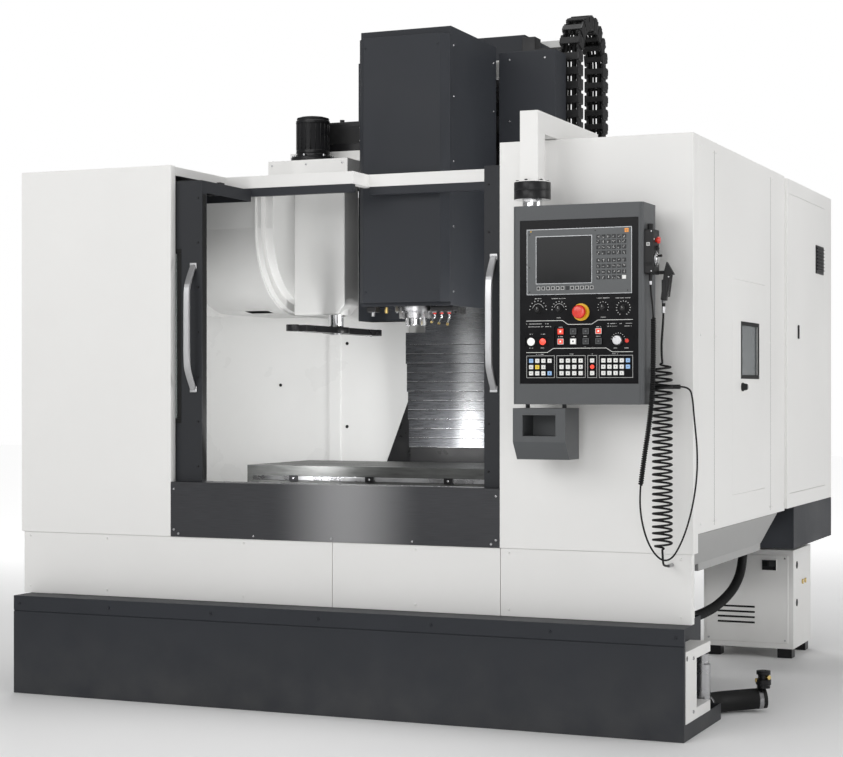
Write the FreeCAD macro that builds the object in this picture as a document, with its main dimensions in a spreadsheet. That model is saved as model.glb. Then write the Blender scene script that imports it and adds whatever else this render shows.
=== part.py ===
"""Vertical machining center: sliding doors, moving table, spindle head and tool changer.

Frame: +X to the operator's right, +Y to the back of the machine, +Z up, in millimetres.
Origin: on the floor, at the middle of the enclosure's width, in the plane of its front panels.
"""
import FreeCAD
import Part
import math
import os
import re
import Sketcher

V = FreeCAD.Vector
doc = FreeCAD.newDocument("machining_center")

# ---------------------------------------------------------------- driving dimensions
SIZES = {
    # enclosure
    "enclosure_width": 2948, "left_height": 2206, "right_height": 2222, "sheet": 3,
    "inner_fold": 40, "corner_fold": 70, "side_back": 1553, "side_bottom": 742,
    "opening_left": 738, "opening_right": 715, "seam": 0.8, "seam_height": 670,
    "plinth_setback": 8, "plinth_seam": 2, "sill_height": 897, "track_front": 43,
    "track_depth": 75, "track_height": 30, "liner_half": 1420, "liner_top": 2085, "liner_bottom": 760,
    "back_wall": 1450, "wall_strip": 12,
    # doors and the beam that carries them
    "door_front": 45, "door_thick": 40, "door_top": 2142, "door_lip": 50, "running_gap": 0.3,
    "left_door_edge": 615, "left_door_width": 660, "right_door_edge": 634, "right_door_width": 835,
    "window_low": 1150, "window_high": 1850, "window_margin": 110,
    "beam_left": 470, "beam_right": 620, "beam_step": 125, "beam_depth": 40, "beam_bottom": 2150,
    "rail_drop": 35, "handle_inset": 40, "handle_width": 28, "handle_thick": 12,
    "handle_low": 1268, "handle_high": 1800, "handle_rise": 62, "handle_bend": 100,
    # coolant tank, bed and feet
    "tank_left": 1430, "tank_right": 1472, "tank_front": 120, "tank_back": 420, "tank_height": 410,
    "tank_plate": 20, "tray_height": 62, "tank_seam": 345, "tank_inset": 50, "tank_wall": 4,
    "channel_low": 62.3, "channel_high": 325, "channel_depth": 200, "channel_flange": 40,
    "bed_bottom": 90, "bed_top": 700, "bed_half": 430, "bed_rear_half": 520, "bed_front": 430,
    "bed_mid": 1400, "bed_back": 2150, "bed_wall": 60, "way_pad": 30, "foot_radius": 70,
    "foot_pad": 40, "foot_stem": 22,
    # column and its covers
    "column_half": 300, "column_back": 2050, "column_top": 2810, "column_wall": 40,
    "flank_inner": 218, "flank_outer": 490, "flank_front": 1300, "flank_bottom": 1600, "flank_top": 2815,
    "mast_half": 235, "mast_front": 1600, "mast_back": 2000, "mast_top": 2950,
    "gusset_reach": 440, "gusset_low": 850, "gusset_high": 1280, "gusset_thick": 9,
    # table, saddle and guides
    "table_length": 1200, "table_depth": 600, "table_top": 950, "table_thick": 75, "table_x": -50,
    "table_y": 800, "slot_width": 18, "slot_pitch": 100, "slot_mouth": 20, "slot_wide": 30,
    "slot_tee": 14, "saddle_half": 420, "saddle_depth": 480, "saddle_thick": 70, "guide_width": 40,
    "guide_height": 29.7, "y_guide_x": 300, "x_guide_y": 160, "z_guide_x": 180, "screw_radius": 14,
    # head and spindle
    "spindle_y": 850, "head_half": 165, "head_front": 738, "head_back": 1400, "head_bottom": 1660,
    "head_height": 590, "front_cover_half": 213, "front_cover_face": 690, "cover_join": 735,
    "cover_chamfer": 32, "front_cover_bottom": 1655, "front_cover_top": 2805, "rear_cover_half": 213,
    "rear_cover_back": 1280, "rear_cover_bottom": 1640, "rear_cover_top": 2840,
    "quill_radius": 80, "flange_radius": 92, "ring_radius": 74, "flange_low": 1620, "ring_low": 1590,
    "nose_radius": 47, "nose_bottom": 1562, "shaft_radius": 35, "bearing_gap": 0.05,
    "taper_radius": 22.225, "taper_small": 12.7, "taper_length": 65.4, "drawbar_radius": 8.5,
    "motor_half": 110, "motor_height": 360,
    # telescopic cover of the column's ways
    "slat_low": 1021, "slat_pitch": 43.6, "slats_each": 3, "slat_overlap": 15, "slat_gauge": 2,
    "slat_lean": 4, "section_step": 8, "section_front": 1340, "section_half": 264, "section_gap": 0.3,
    "way_face": 1409.5,
    # tool changer
    "magazine_left": 985, "magazine_right": 605, "magazine_front": 545, "magazine_back": 1400,
    "magazine_top": 2200, "magazine_bottom": 1625, "magazine_bend": 360, "magazine_rib": 12,
    "disc_z": 1915, "disc_radius": 205, "disc_thick": 22, "pot_circle": 230,
    "pot_radius": 26, "pot_length": 90, "pot_count": 16, "axle_radius": 25,
    "cheek_inset": 35, "cheek_depth": 40,
    "gearbox_left": 700, "gearbox_right": 305, "gearbox_front": 790, "gearbox_step": 1010, "gearbox_back": 1160,
    "bracket_outer": 480, "bracket_inner": 240, "bracket_low": 2210, "bracket_high": 2330,
    "collar_low": 1610, "gearbox_top": 2365, "gearbox_shelf": 2305,
    "arm_x": 390, "arm_low": 1528, "arm_thick": 28, "arm_hub": 60, "arm_shaft": 34, "jaw_radius": 32, "jaw_wall": 12,
    "changer_motor_x": 530, "changer_motor_y": 900, "changer_motor_radius": 74, "changer_motor_top": 2505,
    # rear cabinets and floor unit
    "cabinet_proud": 12, "cabinet_front": 1554, "cabinet_back": 2560, "cabinet_inner": 620,
    "cabinet_bottom": 750, "cabinet_top": 2214, "base_front": 1688, "base_bottom": 562, "base_inset": 80,
    "cabinet_door_front": 1600, "cabinet_door_back": 2397, "cabinet_door_low": 816,
    "cabinet_door_high": 2150, "leaf_thick": 22, "leaf_gap": 0.8,
    "service_front": 596, "service_back": 1170, "service_low": 860, "service_high": 1718,
    "unit_left": 950, "unit_right": 1385, "unit_front": 2160, "unit_low": 45, "unit_high": 515,
    # operator pendant
    "pendant_left": 865, "pendant_right": 1360, "pendant_front": 260, "pendant_back": 102,
    "pendant_low": 1223, "pendant_high": 1948, "panel_left": 893, "panel_right": 1343,
    "panel_low": 1298, "panel_high": 1894, "panel_thick": 10, "panel_recess": 4, "pad_depth": 6,
    "key_rise": 3, "key_travel": 1.5, "holder_width": 203, "holder_low": 1020, "holder_knee": 1085,
    "holder_gap": 14, "arm_side": 70, "arm_tube": 80, "arm_x_left": 876, "arm_front": 213,
    "arm_top": 2305, "arm_reach": 507, "swivel_radius": 68, "swivel_low": 1978, "swivel_high": 2042,
    "swivel_y": 175, "stop_radius": 25, "dial_radius": 13, "feed_radius": 20,
    "handset_front": 245, "handset_depth": 80, "handset_thick": 32, "handset_low": 1690,
    "handset_high": 1850, "hose_y": 165, "hose_coil_radius": 38, "hose_radius": 4,
    "cable_y": 222, "cable_coil_radius": 10, "cable_radius": 3.5,
    # drag chain
    "chain_left": 440, "chain_width": 100, "chain_outer": 225, "chain_thick": 75, "chain_y": 1710,
    "chain_axis": 2810, "chain_front_end": 2250, "chain_back_end": 2040,
}

# places that several sub-parts share, worked out from the sizes above
PLACES = {
    "half_width": "enclosure_width / 2",
    "door_bottom": "sill_height + running_gap",
    "door_rear_left": "beam_left - running_gap",
    "door_rear_right": "beam_right - running_gap",
    "front_unit": "-tank_front + tank_plate",
    "cabinet_side": "half_width + cabinet_proud",
    "table_low": "table_top - table_thick",
    "table_front": "table_y - table_depth / 2",
    "table_rear": "table_y + table_depth / 2",
    "saddle_low": "bed_top + way_pad + guide_height + running_gap",
    "saddle_top": "saddle_low + saddle_thick",
    "way_top": "bed_top + way_pad",
    "section_pitch": "slat_pitch * slats_each",
    "section_depth": "slat_gauge + section_gap",
    "foot_half": "section_half - 4 * section_depth",
    "foot_front": "section_front + 4 * section_step",
    "swivel_x": "arm_x_left + arm_side / 2",
    "panel_face": "-pendant_front + panel_recess",
    "handset_right": "pendant_right + running_gap + handset_thick",
    "head_top": "head_bottom + head_height",
}

sheet = doc.addObject("Spreadsheet::Sheet", "Sizes")
for row, (alias, value) in enumerate(SIZES.items(), start=1):
    sheet.set(f"A{row}", alias)
    sheet.set(f"B{row}", str(value))
    sheet.setAlias(f"B{row}", alias)
doc.recompute()


# ---------------------------------------------------------------- helpers
def bound(text):
    """Turn words into spreadsheet references, opening shared places up into their formulas."""
    def swap(match):
        word = match.group(0)
        if word in PLACES:
            return "(" + bound(PLACES[word]) + ")"
        return "Sizes." + word if word in SIZES else word
    return re.sub(r"[a-z_]+[a-z]", swap, str(text))


def size(text):
    """Value of a formula, for features that read the sheet in code."""
    plain = re.sub(r"Sizes\.([a-z_]+)", lambda found: str(SIZES[found.group(1)]), bound(text))
    return float(formula_value(plain))


def formula_value(plain):
    """Work a formula of plain numbers out on a scratch cell of the sheet."""
    sheet.set("D1", "=" + plain)
    doc.recompute([sheet])
    return sheet.get("D1")


def bind(thing, **formulas):
    for name, formula in formulas.items():
        thing.setExpression(name.replace("__", "."), bound(formula))
    return thing


def place(thing, x=0, y=0, z=0):
    return bind(thing, Placement__Base__x=x, Placement__Base__y=y, Placement__Base__z=z)


def box(name, x, y, z):
    """Box between two formulas on each axis."""
    thing = doc.addObject("Part::Box", name)
    bind(thing, Length=f"({x[1]}) - ({x[0]})", Width=f"({y[1]}) - ({y[0]})", Height=f"({z[1]}) - ({z[0]})")
    return place(thing, x[0], y[0], z[0])


TURNS = {
    "z": FreeCAD.Rotation(),
    "x": FreeCAD.Rotation(V(0, 1, 0), 90),
    "-y": FreeCAD.Rotation(V(1, 0, 0), 90),
    "y": FreeCAD.Rotation(V(1, 0, 0), -90),
}


def rod(name, axis, centre, radius, length):
    """Cylinder that starts at centre and runs along axis."""
    thing = doc.addObject("Part::Cylinder", name)
    thing.Placement = FreeCAD.Placement(V(), TURNS[axis])
    bind(thing, Radius=radius, Height=length)
    return place(thing, *centre)


def fuse(name, *pieces):
    thing = doc.addObject("Part::MultiFuse", name)
    thing.Shapes = list(pieces)
    return thing


def cut(name, base, *tools):
    thing = doc.addObject("Part::Cut", name)
    thing.Base = base
    thing.Tool = tools[0] if len(tools) == 1 else fuse(name + "_tools", *tools)
    return thing


def group(name, *pieces):
    """Separate solids that share one node."""
    thing = doc.addObject("Part::Compound", name)
    thing.Links = list(pieces)
    return thing


def shell(name, x, y, z, wall, open_sides=""):
    """Hollow box of sheet; open_sides lists the missing walls, such as 'y+ z-'."""
    sides = open_sides.split()
    inner = []
    for letter, (low, high) in zip("xyz", (x, y, z)):
        start = f"({low}) - 1" if letter + "-" in sides else f"({low}) + {wall}"
        end = f"({high}) + 1" if letter + "+" in sides else f"({high}) - {wall}"
        inner.append((start, end))
    return cut(name, box(name + "_outer", x, y, z), box(name + "_inner", *inner))


def sketched(name, plane, points):
    """Body with a closed outline whose corners are bound to formulas."""
    body = doc.addObject("PartDesign::Body", name)
    base = [item for item in body.Origin.OriginFeatures if item.Role == plane + "_Plane"][0]
    sketch = body.newObject("Sketcher::SketchObject", name + "_sketch")
    sketch.AttachmentSupport = [(base, "")]
    sketch.MapMode = "FlatFace"
    corners = [(size(a), size(b)) for a, b in points]
    count = len(corners)
    for index, (a, b) in enumerate(corners):
        c, d = corners[(index + 1) % count]
        sketch.addGeometry(Part.LineSegment(V(a, b, 0), V(c, d, 0)), False)
    for index in range(count):
        sketch.addConstraint(Sketcher.Constraint("Coincident", index, 2, (index + 1) % count, 1))
    for index, (formulas, values) in enumerate(zip(points, corners)):
        for kind, formula, value in zip(("DistanceX", "DistanceY"), formulas, values):
            number = sketch.addConstraint(Sketcher.Constraint(kind, -1, 1, index, 1, value))
            sketch.setExpression(f"Constraints[{number}]", bound(formula))
    return body, sketch


def prism(name, plane, points, span):
    """Outline on a plane, padded across span along the plane's normal."""
    body, sketch = sketched(name, plane, points)
    pad = body.newObject("PartDesign::Pad", name + "_pad")
    pad.Profile = sketch
    pad.Midplane = True
    bind(pad, Length=f"({span[1]}) - ({span[0]})")
    middle = f"(({span[0]}) + ({span[1]})) / 2"
    spot = {"XY": (0, 0, middle), "XZ": (0, middle, 0), "YZ": (middle, 0, 0)}[plane]
    return place(body, *spot)


def turned(name, axis, centre, profile):
    """Outline of (radius, height) corners, revolved and set along axis from centre."""
    body, sketch = sketched(name, "XZ", profile)
    spin = body.newObject("PartDesign::Revolution", name + "_turn")
    spin.Profile = sketch
    spin.ReferenceAxis = (sketch, ["V_Axis"])
    spin.Angle = 360
    body.Placement = FreeCAD.Placement(V(), TURNS[axis])
    return place(body, *centre)


def edges_along(thing, direction, inside):
    """Numbers of the straight edges along a direction whose middle passes a test."""
    doc.recompute()
    found = []
    for number, edge in enumerate(thing.Shape.Edges, start=1):
        start, end = edge.Vertexes[0].Point, edge.Vertexes[-1].Point
        along = (end - start).normalize() if start != end else V()
        if abs(along.dot(direction)) > 0.999 and inside((start + end) * 0.5):
            found.append(number)
    return found


def rounded(name, thing, radius, direction, inside=lambda middle: True):
    """Part fillet on the edges that run along a direction."""
    amount = size(radius)
    numbers = edges_along(thing, direction, inside)
    fillet = doc.addObject("Part::Fillet", name)
    fillet.Base = thing
    fillet.Edges = [(number, amount, amount) for number in numbers]
    return fillet


nodes = {}


def node(name, thing):
    """Mark a finished sub-part; its label names its file."""
    thing.Label = name
    nodes[name] = thing
    return thing


def mirrored_pair(build):
    """Build a piece for the right (+1) and the left (-1) side."""
    return [build(side, word) for side, word in ((1, "right"), (-1, "left"))]


def across(side, low, high):
    """Span in X on one side of the machine, lowest first."""
    return (low, high) if side > 0 else (f"-({high})", f"-({low})")


# ---------------------------------------------------------------- base
def build_tank():
    width = ("-tank_left", "tank_right")
    plate = box("tank_plate_low", width, ("-tank_front", "front_unit"), (0, "tank_seam"))
    lid = box("tank_plate_high", width, ("-tank_front", "front_unit"), ("tank_seam + 3", "tank_height"))
    joint = box("tank_joint", width, ("-tank_front + 4", "front_unit"), ("tank_seam - 5", "tank_seam + 8"))
    lip = box("tank_lip", width, ("-tank_front", "plinth_setback + 2"), ("tank_height - 4", "tank_height"))
    tray = shell("tank_tray", width, ("front_unit - 1", "tank_back"), (0, "tray_height"), "tank_wall", "z+")
    body = shell("tank_body", ("-tank_left + tank_inset", "tank_right - tank_inset - 30"),
                 ("front_unit - 1", "tank_back"), ("tray_height - 6", "tank_height - 10"), "tank_wall", "z+")
    return fuse("tank", plate, lid, joint, lip, tray, body)


def build_bed():
    front = shell("bed_front_box", ("-bed_half", "bed_half"), ("bed_front", "bed_mid + bed_wall"),
                  ("bed_bottom", "bed_top"), "bed_wall", "z-")
    rear = shell("bed_rear_box", ("-bed_rear_half", "bed_rear_half"), ("bed_mid", "bed_back"),
                 ("bed_bottom", "bed_top"), "bed_wall", "z-")
    pads = [box("way_pad_" + word, across(side, "y_guide_x - 45", "y_guide_x + 45"),
                ("bed_front", "back_wall - 90"), ("bed_top - 1", "way_top"))
            for side, word in ((1, "right"), (-1, "left"))]
    return fuse("bed", front, rear, *pads)


def build_feet():
    spots = [(f"{side} * ({half} - bed_wall / 2)", spot)
             for side in (1, -1)
             for half, spot in (("bed_half", "bed_front + 80"), ("bed_rear_half", "bed_mid + 80"),
                                ("bed_rear_half", "bed_back - 80"))]
    feet = []
    for number, (x, y) in enumerate(spots):
        pad = rod(f"foot_pad_{number}", "z", (x, y, 0), "foot_radius", "foot_pad")
        stem = rod(f"foot_stem_{number}", "z", (x, y, "foot_pad - 1"), "foot_stem", "bed_bottom - foot_pad + 1")
        feet.append(fuse(f"foot_{number}", pad, stem))
    for x in ("unit_left + 10", "unit_right - 80"):
        for y in ("unit_front + 10", "cabinet_back - 80"):
            feet.append(box("unit_foot", (x, f"{x} + 70"), (y, f"{y} + 70"), (0, "unit_low")))
    return group("feet", *feet)


def build_column():
    walls = shell("column_walls", ("-column_half", "column_half"), ("back_wall", "column_back"),
                  ("bed_top", "column_top"), "column_wall", "z-")
    ribs = [box("column_rib", ("-column_half + 20", "column_half - 20"), ("back_wall + 20", "column_back - 20"),
                (f"bed_top + {step}", f"bed_top + {step} + column_wall")) for step in (600, 1200)]
    return fuse("column", walls, *ribs)


def build_column_covers():
    def flank(side, word):
        return shell("flank_" + word, across(side, "flank_inner", "flank_outer"), ("flank_front", "back_wall"),
                     ("flank_bottom", "flank_top"), "sheet", "y+ z-")

    def gusset(side, word):
        inner = "section_half + 3"
        points = [(f"{side} * ({inner})", "gusset_low"), (f"{side} * gusset_reach", "gusset_low"),
                  (f"{side} * ({inner} + 8)", "gusset_high"), (f"{side} * ({inner})", "gusset_high")]
        return prism("gusset_" + word, "XZ", points, ("back_wall - gusset_thick", "back_wall"))

    mast = shell("mast_box", ("-mast_half", "mast_half"), ("mast_front", "mast_back"), ("column_top", "mast_top"),
                 "sheet", "z-")
    foot = shell("way_foot", ("-foot_half", "foot_half"), ("foot_front", "back_wall"),
                 ("bed_top", "slat_low"), "sheet", "y+ z-")
    passage = box("bracket_passage", ("-bracket_outer - 2", "-bracket_inner + 2"), ("flank_front - 5", "back_wall + 5"),
                  ("bracket_low - 2", "bracket_high + 2"))
    right, left = mirrored_pair(flank)
    bracket = box("chain_bracket", ("column_half", "chain_left"), ("chain_y + 150", "chain_y + chain_outer"),
                  ("chain_back_end + 10", "chain_back_end + 80"))
    return group("covers", right, cut("flank_left_open", left, passage), *mirrored_pair(gusset), foot, mast, bracket)


# ---------------------------------------------------------------- enclosure
def build_front_panels():
    low = "seam_height + seam"
    left_x = ("-half_width", "-opening_left")
    right_x = ("opening_right", "half_width")
    fold = (0, "inner_fold")
    left = fuse("left_front",
                shell("left_pan", left_x, fold, (low, "left_height"), "sheet", "y+"),
                box("left_corner", ("-half_width", "-half_width + sheet"), (0, "corner_fold"), (low, "left_height")))
    right = fuse("right_front",
                 shell("right_pan", right_x, fold, (low, "right_height"), "sheet", "y+"),
                 box("right_corner", ("half_width - sheet", "half_width"), (0, "corner_fold"),
                     (low, "right_height")))
    spans = (("-half_width + plinth_setback", "-plinth_seam / 2"),
             ("plinth_seam / 2", "opening_right - plinth_seam / 2"),
             ("opening_right + plinth_seam / 2", "half_width - plinth_setback"))
    plinths = [shell(f"plinth_{number}", span, ("plinth_setback", "plinth_setback + inner_fold"),
                     ("tank_height + 0.3", "seam_height"), "sheet", "y+") for number, span in enumerate(spans)]
    backing = box("plinth_rail", ("-half_width + 12", "half_width - 12"),
                  ("plinth_setback + inner_fold", "plinth_setback + inner_fold + 20"),
                  ("tank_height + 20", "tank_height + 60"))

    def channel(side, word):
        outer = box("channel_outer_" + word, across(side, "half_width - 80", "half_width"),
                    ("front_unit + 0.3", "front_unit + channel_depth + 150"), ("channel_low", "channel_high"))
        inner = box("channel_inner_" + word, across(side, "half_width - 81", "half_width + 1"),
                    ("front_unit + 150", "front_unit + channel_depth + 151"),
                    ("channel_low + channel_flange", "channel_high - channel_flange"))
        return cut("channel_" + word, outer, inner)

    return group("fronts", left, right, *plinths, backing, channel(1, "right"))


def build_apron():
    face = shell("apron_pan", ("-opening_left + seam", "opening_right - seam"), (0, "track_front + 10"),
                 ("seam_height + seam", "sill_height"), "sheet", "y+")
    track = box("door_track", ("-half_width + 6", "half_width - 6"), ("track_front", "track_front + track_depth"),
                ("sill_height - track_height", "sill_height"))
    low = ("beam_bottom - rail_drop", "beam_bottom")
    end = "half_width - 9"
    rail_left = box("rail_left", (f"-({end})", "-beam_step - 5"), ("beam_left", "beam_left + 30"), low)
    rail_right = box("rail_right", ("-beam_step + 5", end), ("beam_right", "beam_right + 30"), low)
    return group("apron_and_rails", fuse("apron", face, track), rail_left, rail_right)


def build_side_panels():
    def panel(side, word):
        top = "right_height" if side > 0 else "left_height"
        opening = "x- y-" if side > 0 else "x+ y-"
        return shell("side_" + word, across(side, "half_width - inner_fold", "half_width"),
                     ("corner_fold + seam", "side_back"), ("side_bottom", top), "sheet", opening)

    right, left = mirrored_pair(panel)
    doorway = box("doorway", ("half_width - 5", "half_width + 5"),
                  ("service_front - leaf_gap", "service_back + leaf_gap"),
                  ("service_low - leaf_gap", "service_high + leaf_gap"))
    return group("sides", cut("side_right_open", right, doorway), left)


def build_beam():
    high = ("beam_bottom", "left_height - sheet")
    end = "half_width - 9"
    left = box("beam_b", (f"-({end})", "-beam_step"), ("beam_left", "beam_left + beam_depth"), high)
    step = box("beam_c", ("-beam_step - beam_depth", "-beam_step"), ("beam_left", "beam_right + beam_depth"), high)
    right = box("beam_d", ("-beam_step - 1", end), ("beam_right", "beam_right + beam_depth"), high)
    roofs = [box("roof_left", ("-half_width + sheet", "-opening_left"), ("inner_fold", "beam_left"),
                 ("left_height - 2 * sheet", "left_height - sheet")),
             box("roof_flange", ("-opening_left - sheet", "-opening_left"), ("inner_fold", "beam_left"),
                 ("left_height - 40", "left_height - sheet")),
             box("roof_right", ("opening_right", "half_width - sheet"), ("inner_fold", "beam_right"),
                 ("left_height - sheet", "left_height"))]
    return fuse("beam_body", left, step, right, *roofs)


def build_inner_panels():
    def liner(side, word):
        wall = box("liner_wall_" + word, across(side, "liner_half - sheet", "liner_half"), (130, "back_wall"),
                   ("liner_bottom", "liner_top"))
        back = box("liner_back_" + word, across(side, "column_half", "liner_half"),
                   ("back_wall", "back_wall + sheet"), ("liner_bottom", "liner_top"))
        tie = box("liner_tie_" + word, across(side, "liner_half - 1", "half_width - sheet"), (1380, 1420),
                  ("liner_top - 40", "liner_top"))
        return fuse("liner_" + word, wall, back, tie)

    right, left = mirrored_pair(liner)
    doorway = box("liner_doorway", ("liner_half - 9", "liner_half + 9"), ("service_front - 20", "service_back + 20"),
                  ("service_low - 20", "service_high + 20"))
    shelf = box("liner_shelf", ("-liner_half + sheet", "-640"), ("back_wall - wall_strip", "back_wall"),
                ("1640", "liner_top"))
    post = box("liner_post", ("-710", "-652"), ("back_wall - wall_strip", "back_wall"), ("liner_bottom", "1640"))
    return group("liners", cut("liner_right_open", right, doorway), fuse("liner_left_all", left, shelf, post))


def build_hopper():
    def chute(side, word):
        points = [("half_width - sheet", "side_bottom"), ("1400", "610"), ("bed_half + 20", "560"),
                  ("bed_half + 20", "560 - sheet"), ("1402", "610 - sheet"), ("half_width", "side_bottom - sheet")]
        points = [(f"{side} * ({x})", z) for x, z in points]
        plate = prism("chute_" + word, "XZ", points, ("corner_fold + seam", "bed_mid"))
        gutter = box("gutter_" + word, across(side, "1385", "1400"), (353, "bed_mid"), (577, "609"))
        ledge = box("ledge_" + word, across(side, "bed_half", "bed_half + 24"), ("bed_front", "bed_mid"),
                    (550, "557.5"))
        return fuse("hopper_" + word, plate, gutter, ledge)

    return group("hopper", *mirrored_pair(chute))


def build_cabinets():
    def cabinet(side, word):
        span = across(side, "cabinet_inner", "cabinet_side")
        return shell("cabinet_" + word, span, ("cabinet_front", "cabinet_back"),
                     ("cabinet_bottom", "cabinet_top"), "sheet")

    def base(side, word):
        plinth = shell("base_" + word, across(side, "cabinet_inner + base_inset", "cabinet_side"),
                       ("base_front", "cabinet_back"), ("base_bottom", "cabinet_bottom - 0.3"), "sheet")
        arm = box("base_arm_" + word, across(side, "bed_rear_half", "cabinet_inner + base_inset + 1"),
                  ("base_front + 60", "base_front + 220"), ("base_bottom + 20", "base_bottom + 120"))
        return fuse("base_all_" + word, plinth, arm)

    right, left = mirrored_pair(cabinet)
    doorway = box("cabinet_doorway", ("cabinet_side - 8", "cabinet_side + 5"),
                  ("cabinet_door_front - leaf_gap", "cabinet_door_back + leaf_gap"),
                  ("cabinet_door_low - leaf_gap", "cabinet_door_high + leaf_gap"))
    mounting = box("mounting_plate", ("cabinet_inner + sheet", "cabinet_inner + 40"),
                   ("cabinet_front + 60", "cabinet_back - 60"), ("cabinet_bottom + 80", "cabinet_top - 80"))
    drives = [box(f"drive_{number}", ("cabinet_inner + 39", "cabinet_inner + 240"),
                  (f"cabinet_front + 120 + {number} * 130", f"cabinet_front + 220 + {number} * 130"),
                  ("cabinet_bottom + 500", "cabinet_bottom + 880")) for number in range(5)]
    return group("cabinets", cut("cabinet_right_open", right, doorway), left,
                 fuse("electrical_gear", mounting, *drives), *mirrored_pair(base))


def build_rear_unit():
    body = box("unit_box", ("unit_left", "unit_right"), ("unit_front", "cabinet_back"), ("unit_low", "unit_high"))
    inside = box("unit_inside", ("unit_left + 3", "unit_right - 3"), ("unit_front + 3", "cabinet_back - 3"),
                 ("unit_low + 3", "unit_high - 3"))
    panel = box("unit_panel", ("unit_left + 12", "unit_right - 26"), ("unit_front - 3", "unit_front"),
                ("unit_low + 26", "unit_high - 26"))
    meter = box("unit_meter", ("unit_right - 150", "unit_right - 80"), ("unit_front - 9", "unit_front - 3"),
                ("unit_high - 100", "unit_high - 45"))
    posts = [box("unit_post", (f"{x}", f"{x} + 40"), ("cabinet_back - 200", "cabinet_back - 140"),
                 ("unit_high - 1", "base_bottom")) for x in ("unit_left + 60", "unit_right - 100")]
    return fuse("unit", cut("unit_shell", body, inside), panel, meter, *posts)


# ---------------------------------------------------------------- doors
def build_door(word, low, high, rear):
    across_x = (low, high)
    leaf = shell("leaf_" + word, across_x, ("door_front", "door_front + door_thick"),
                 ("door_bottom", "door_top"), "sheet", "y+")
    frame = shell("frame_" + word, (f"{low} + window_margin - 25", f"{high} - window_margin + 25"),
                  ("door_front + 1", "door_front + door_thick"), ("window_low - 25", "window_high + 25"),
                  "25", "y- y+")
    window = box("window_" + word, (f"{low} + window_margin", f"{high} - window_margin"),
                 ("door_front - 5", "door_front + door_thick + 5"), ("window_low", "window_high"))
    hood = shell("hood_" + word, across_x, ("door_front + door_thick - 1", rear),
                 ("door_top - door_lip", "door_top"), "sheet", "z-")
    return fuse("door_" + word, cut("glazed_" + word, leaf, window), frame, hood)


def build_handle(word, centre):
    far, near = "door_front - handle_rise", "door_front"
    points = [(near, "handle_low"), (far, "handle_low + handle_bend"), (far, "handle_high - handle_bend"),
              (near, "handle_high"), (near, "handle_high - handle_thick * 1.6"),
              (f"{far} + handle_thick", "handle_high - handle_bend - handle_thick * 0.3"),
              (f"{far} + handle_thick", "handle_low + handle_bend + handle_thick * 0.3"),
              (near, "handle_low + handle_thick * 1.6")]
    return prism("handle_" + word, "YZ", points, (f"{centre} - handle_width / 2", f"{centre} + handle_width / 2"))


def build_service_door():
    leaf = box("service_leaf", ("half_width - leaf_thick", "half_width"), ("service_front", "service_back"),
               ("service_low", "service_high"))
    hollow = box("service_hollow", ("half_width - leaf_thick - 1", "half_width - sheet"),
                 ("service_front + sheet", "service_back - sheet"), ("service_low + sheet", "service_high - sheet"))
    frame = box("service_frame", ("half_width - leaf_thick", "half_width"), (728, 1066), (1311, 1563))
    window = box("service_window", ("half_width - 30", "half_width + 5"), (748, 1046), (1331, 1543))
    return cut("service_glazed", fuse("service_body", cut("service_pan", leaf, hollow), frame), window)


def build_cabinet_door():
    return shell("cabinet_leaf", ("cabinet_side - leaf_thick", "cabinet_side"),
                 ("cabinet_door_front", "cabinet_door_back"), ("cabinet_door_low", "cabinet_door_high"),
                 "sheet", "x-")


# ---------------------------------------------------------------- axes
def build_guides():
    pieces = []
    for side, word in ((1, "right"), (-1, "left")):
        pieces.append(box("y_guide_" + word, across(side, "y_guide_x - guide_width / 2", "y_guide_x + guide_width / 2"),
                          ("bed_front + 5", "foot_front - 5"), ("way_top", "way_top + guide_height")))
        pieces.append(box("z_guide_" + word, across(side, "z_guide_x - guide_width / 2", "z_guide_x + guide_width / 2"),
                          ("head_back + 10", "back_wall"), (1100, "flank_top - 100")))
    screw_z = "bed_top + screw_radius + 2"
    pieces.append(fuse("y_drive", rod("y_screw", "y", (0, "bed_front", screw_z), "screw_radius", "919"),
                       box("y_bearing", (-60, 60), ("foot_front - 80", "foot_front - 30"),
                           ("bed_top", "saddle_low - 4"))))
    pieces.append(fuse("z_drive", rod("z_screw", "z", (0, "back_wall - 25", 1100), "screw_radius", "1590"),
                       box("z_bearing_low", (-50, 50), ("back_wall - 45", "back_wall"), (1060, 1110)),
                       box("z_bearing_high", (-50, 50), ("back_wall - 60", "back_wall"), (2640, 2700))))
    return group("guides", *pieces)


def build_servo_motors():
    y_motor = box("y_motor", (-48, 48), ("bed_front - 150", "bed_front"), ("bed_top - 40", "bed_top + 55"))
    z_motor = box("z_motor", (-65, 65), ("back_wall - 130", "back_wall"), (2700, 2850))
    centre = ("-changer_motor_x", "changer_motor_y")
    changer = fuse("changer_motor",
                   rod("changer_flange", "z", (*centre, "gearbox_shelf"), "changer_motor_radius + 25", 22),
                   rod("changer_body", "z", (*centre, "gearbox_shelf"), "changer_motor_radius",
                       "changer_motor_top - gearbox_shelf"),
                   box("changer_box", ("-gearbox_left + 50", "-gearbox_right - 15"),
                       ("gearbox_step + 10", "gearbox_back - 15"), ("gearbox_top", "changer_motor_top - 5")))
    return group("motors", y_motor, z_motor, changer)


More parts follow.
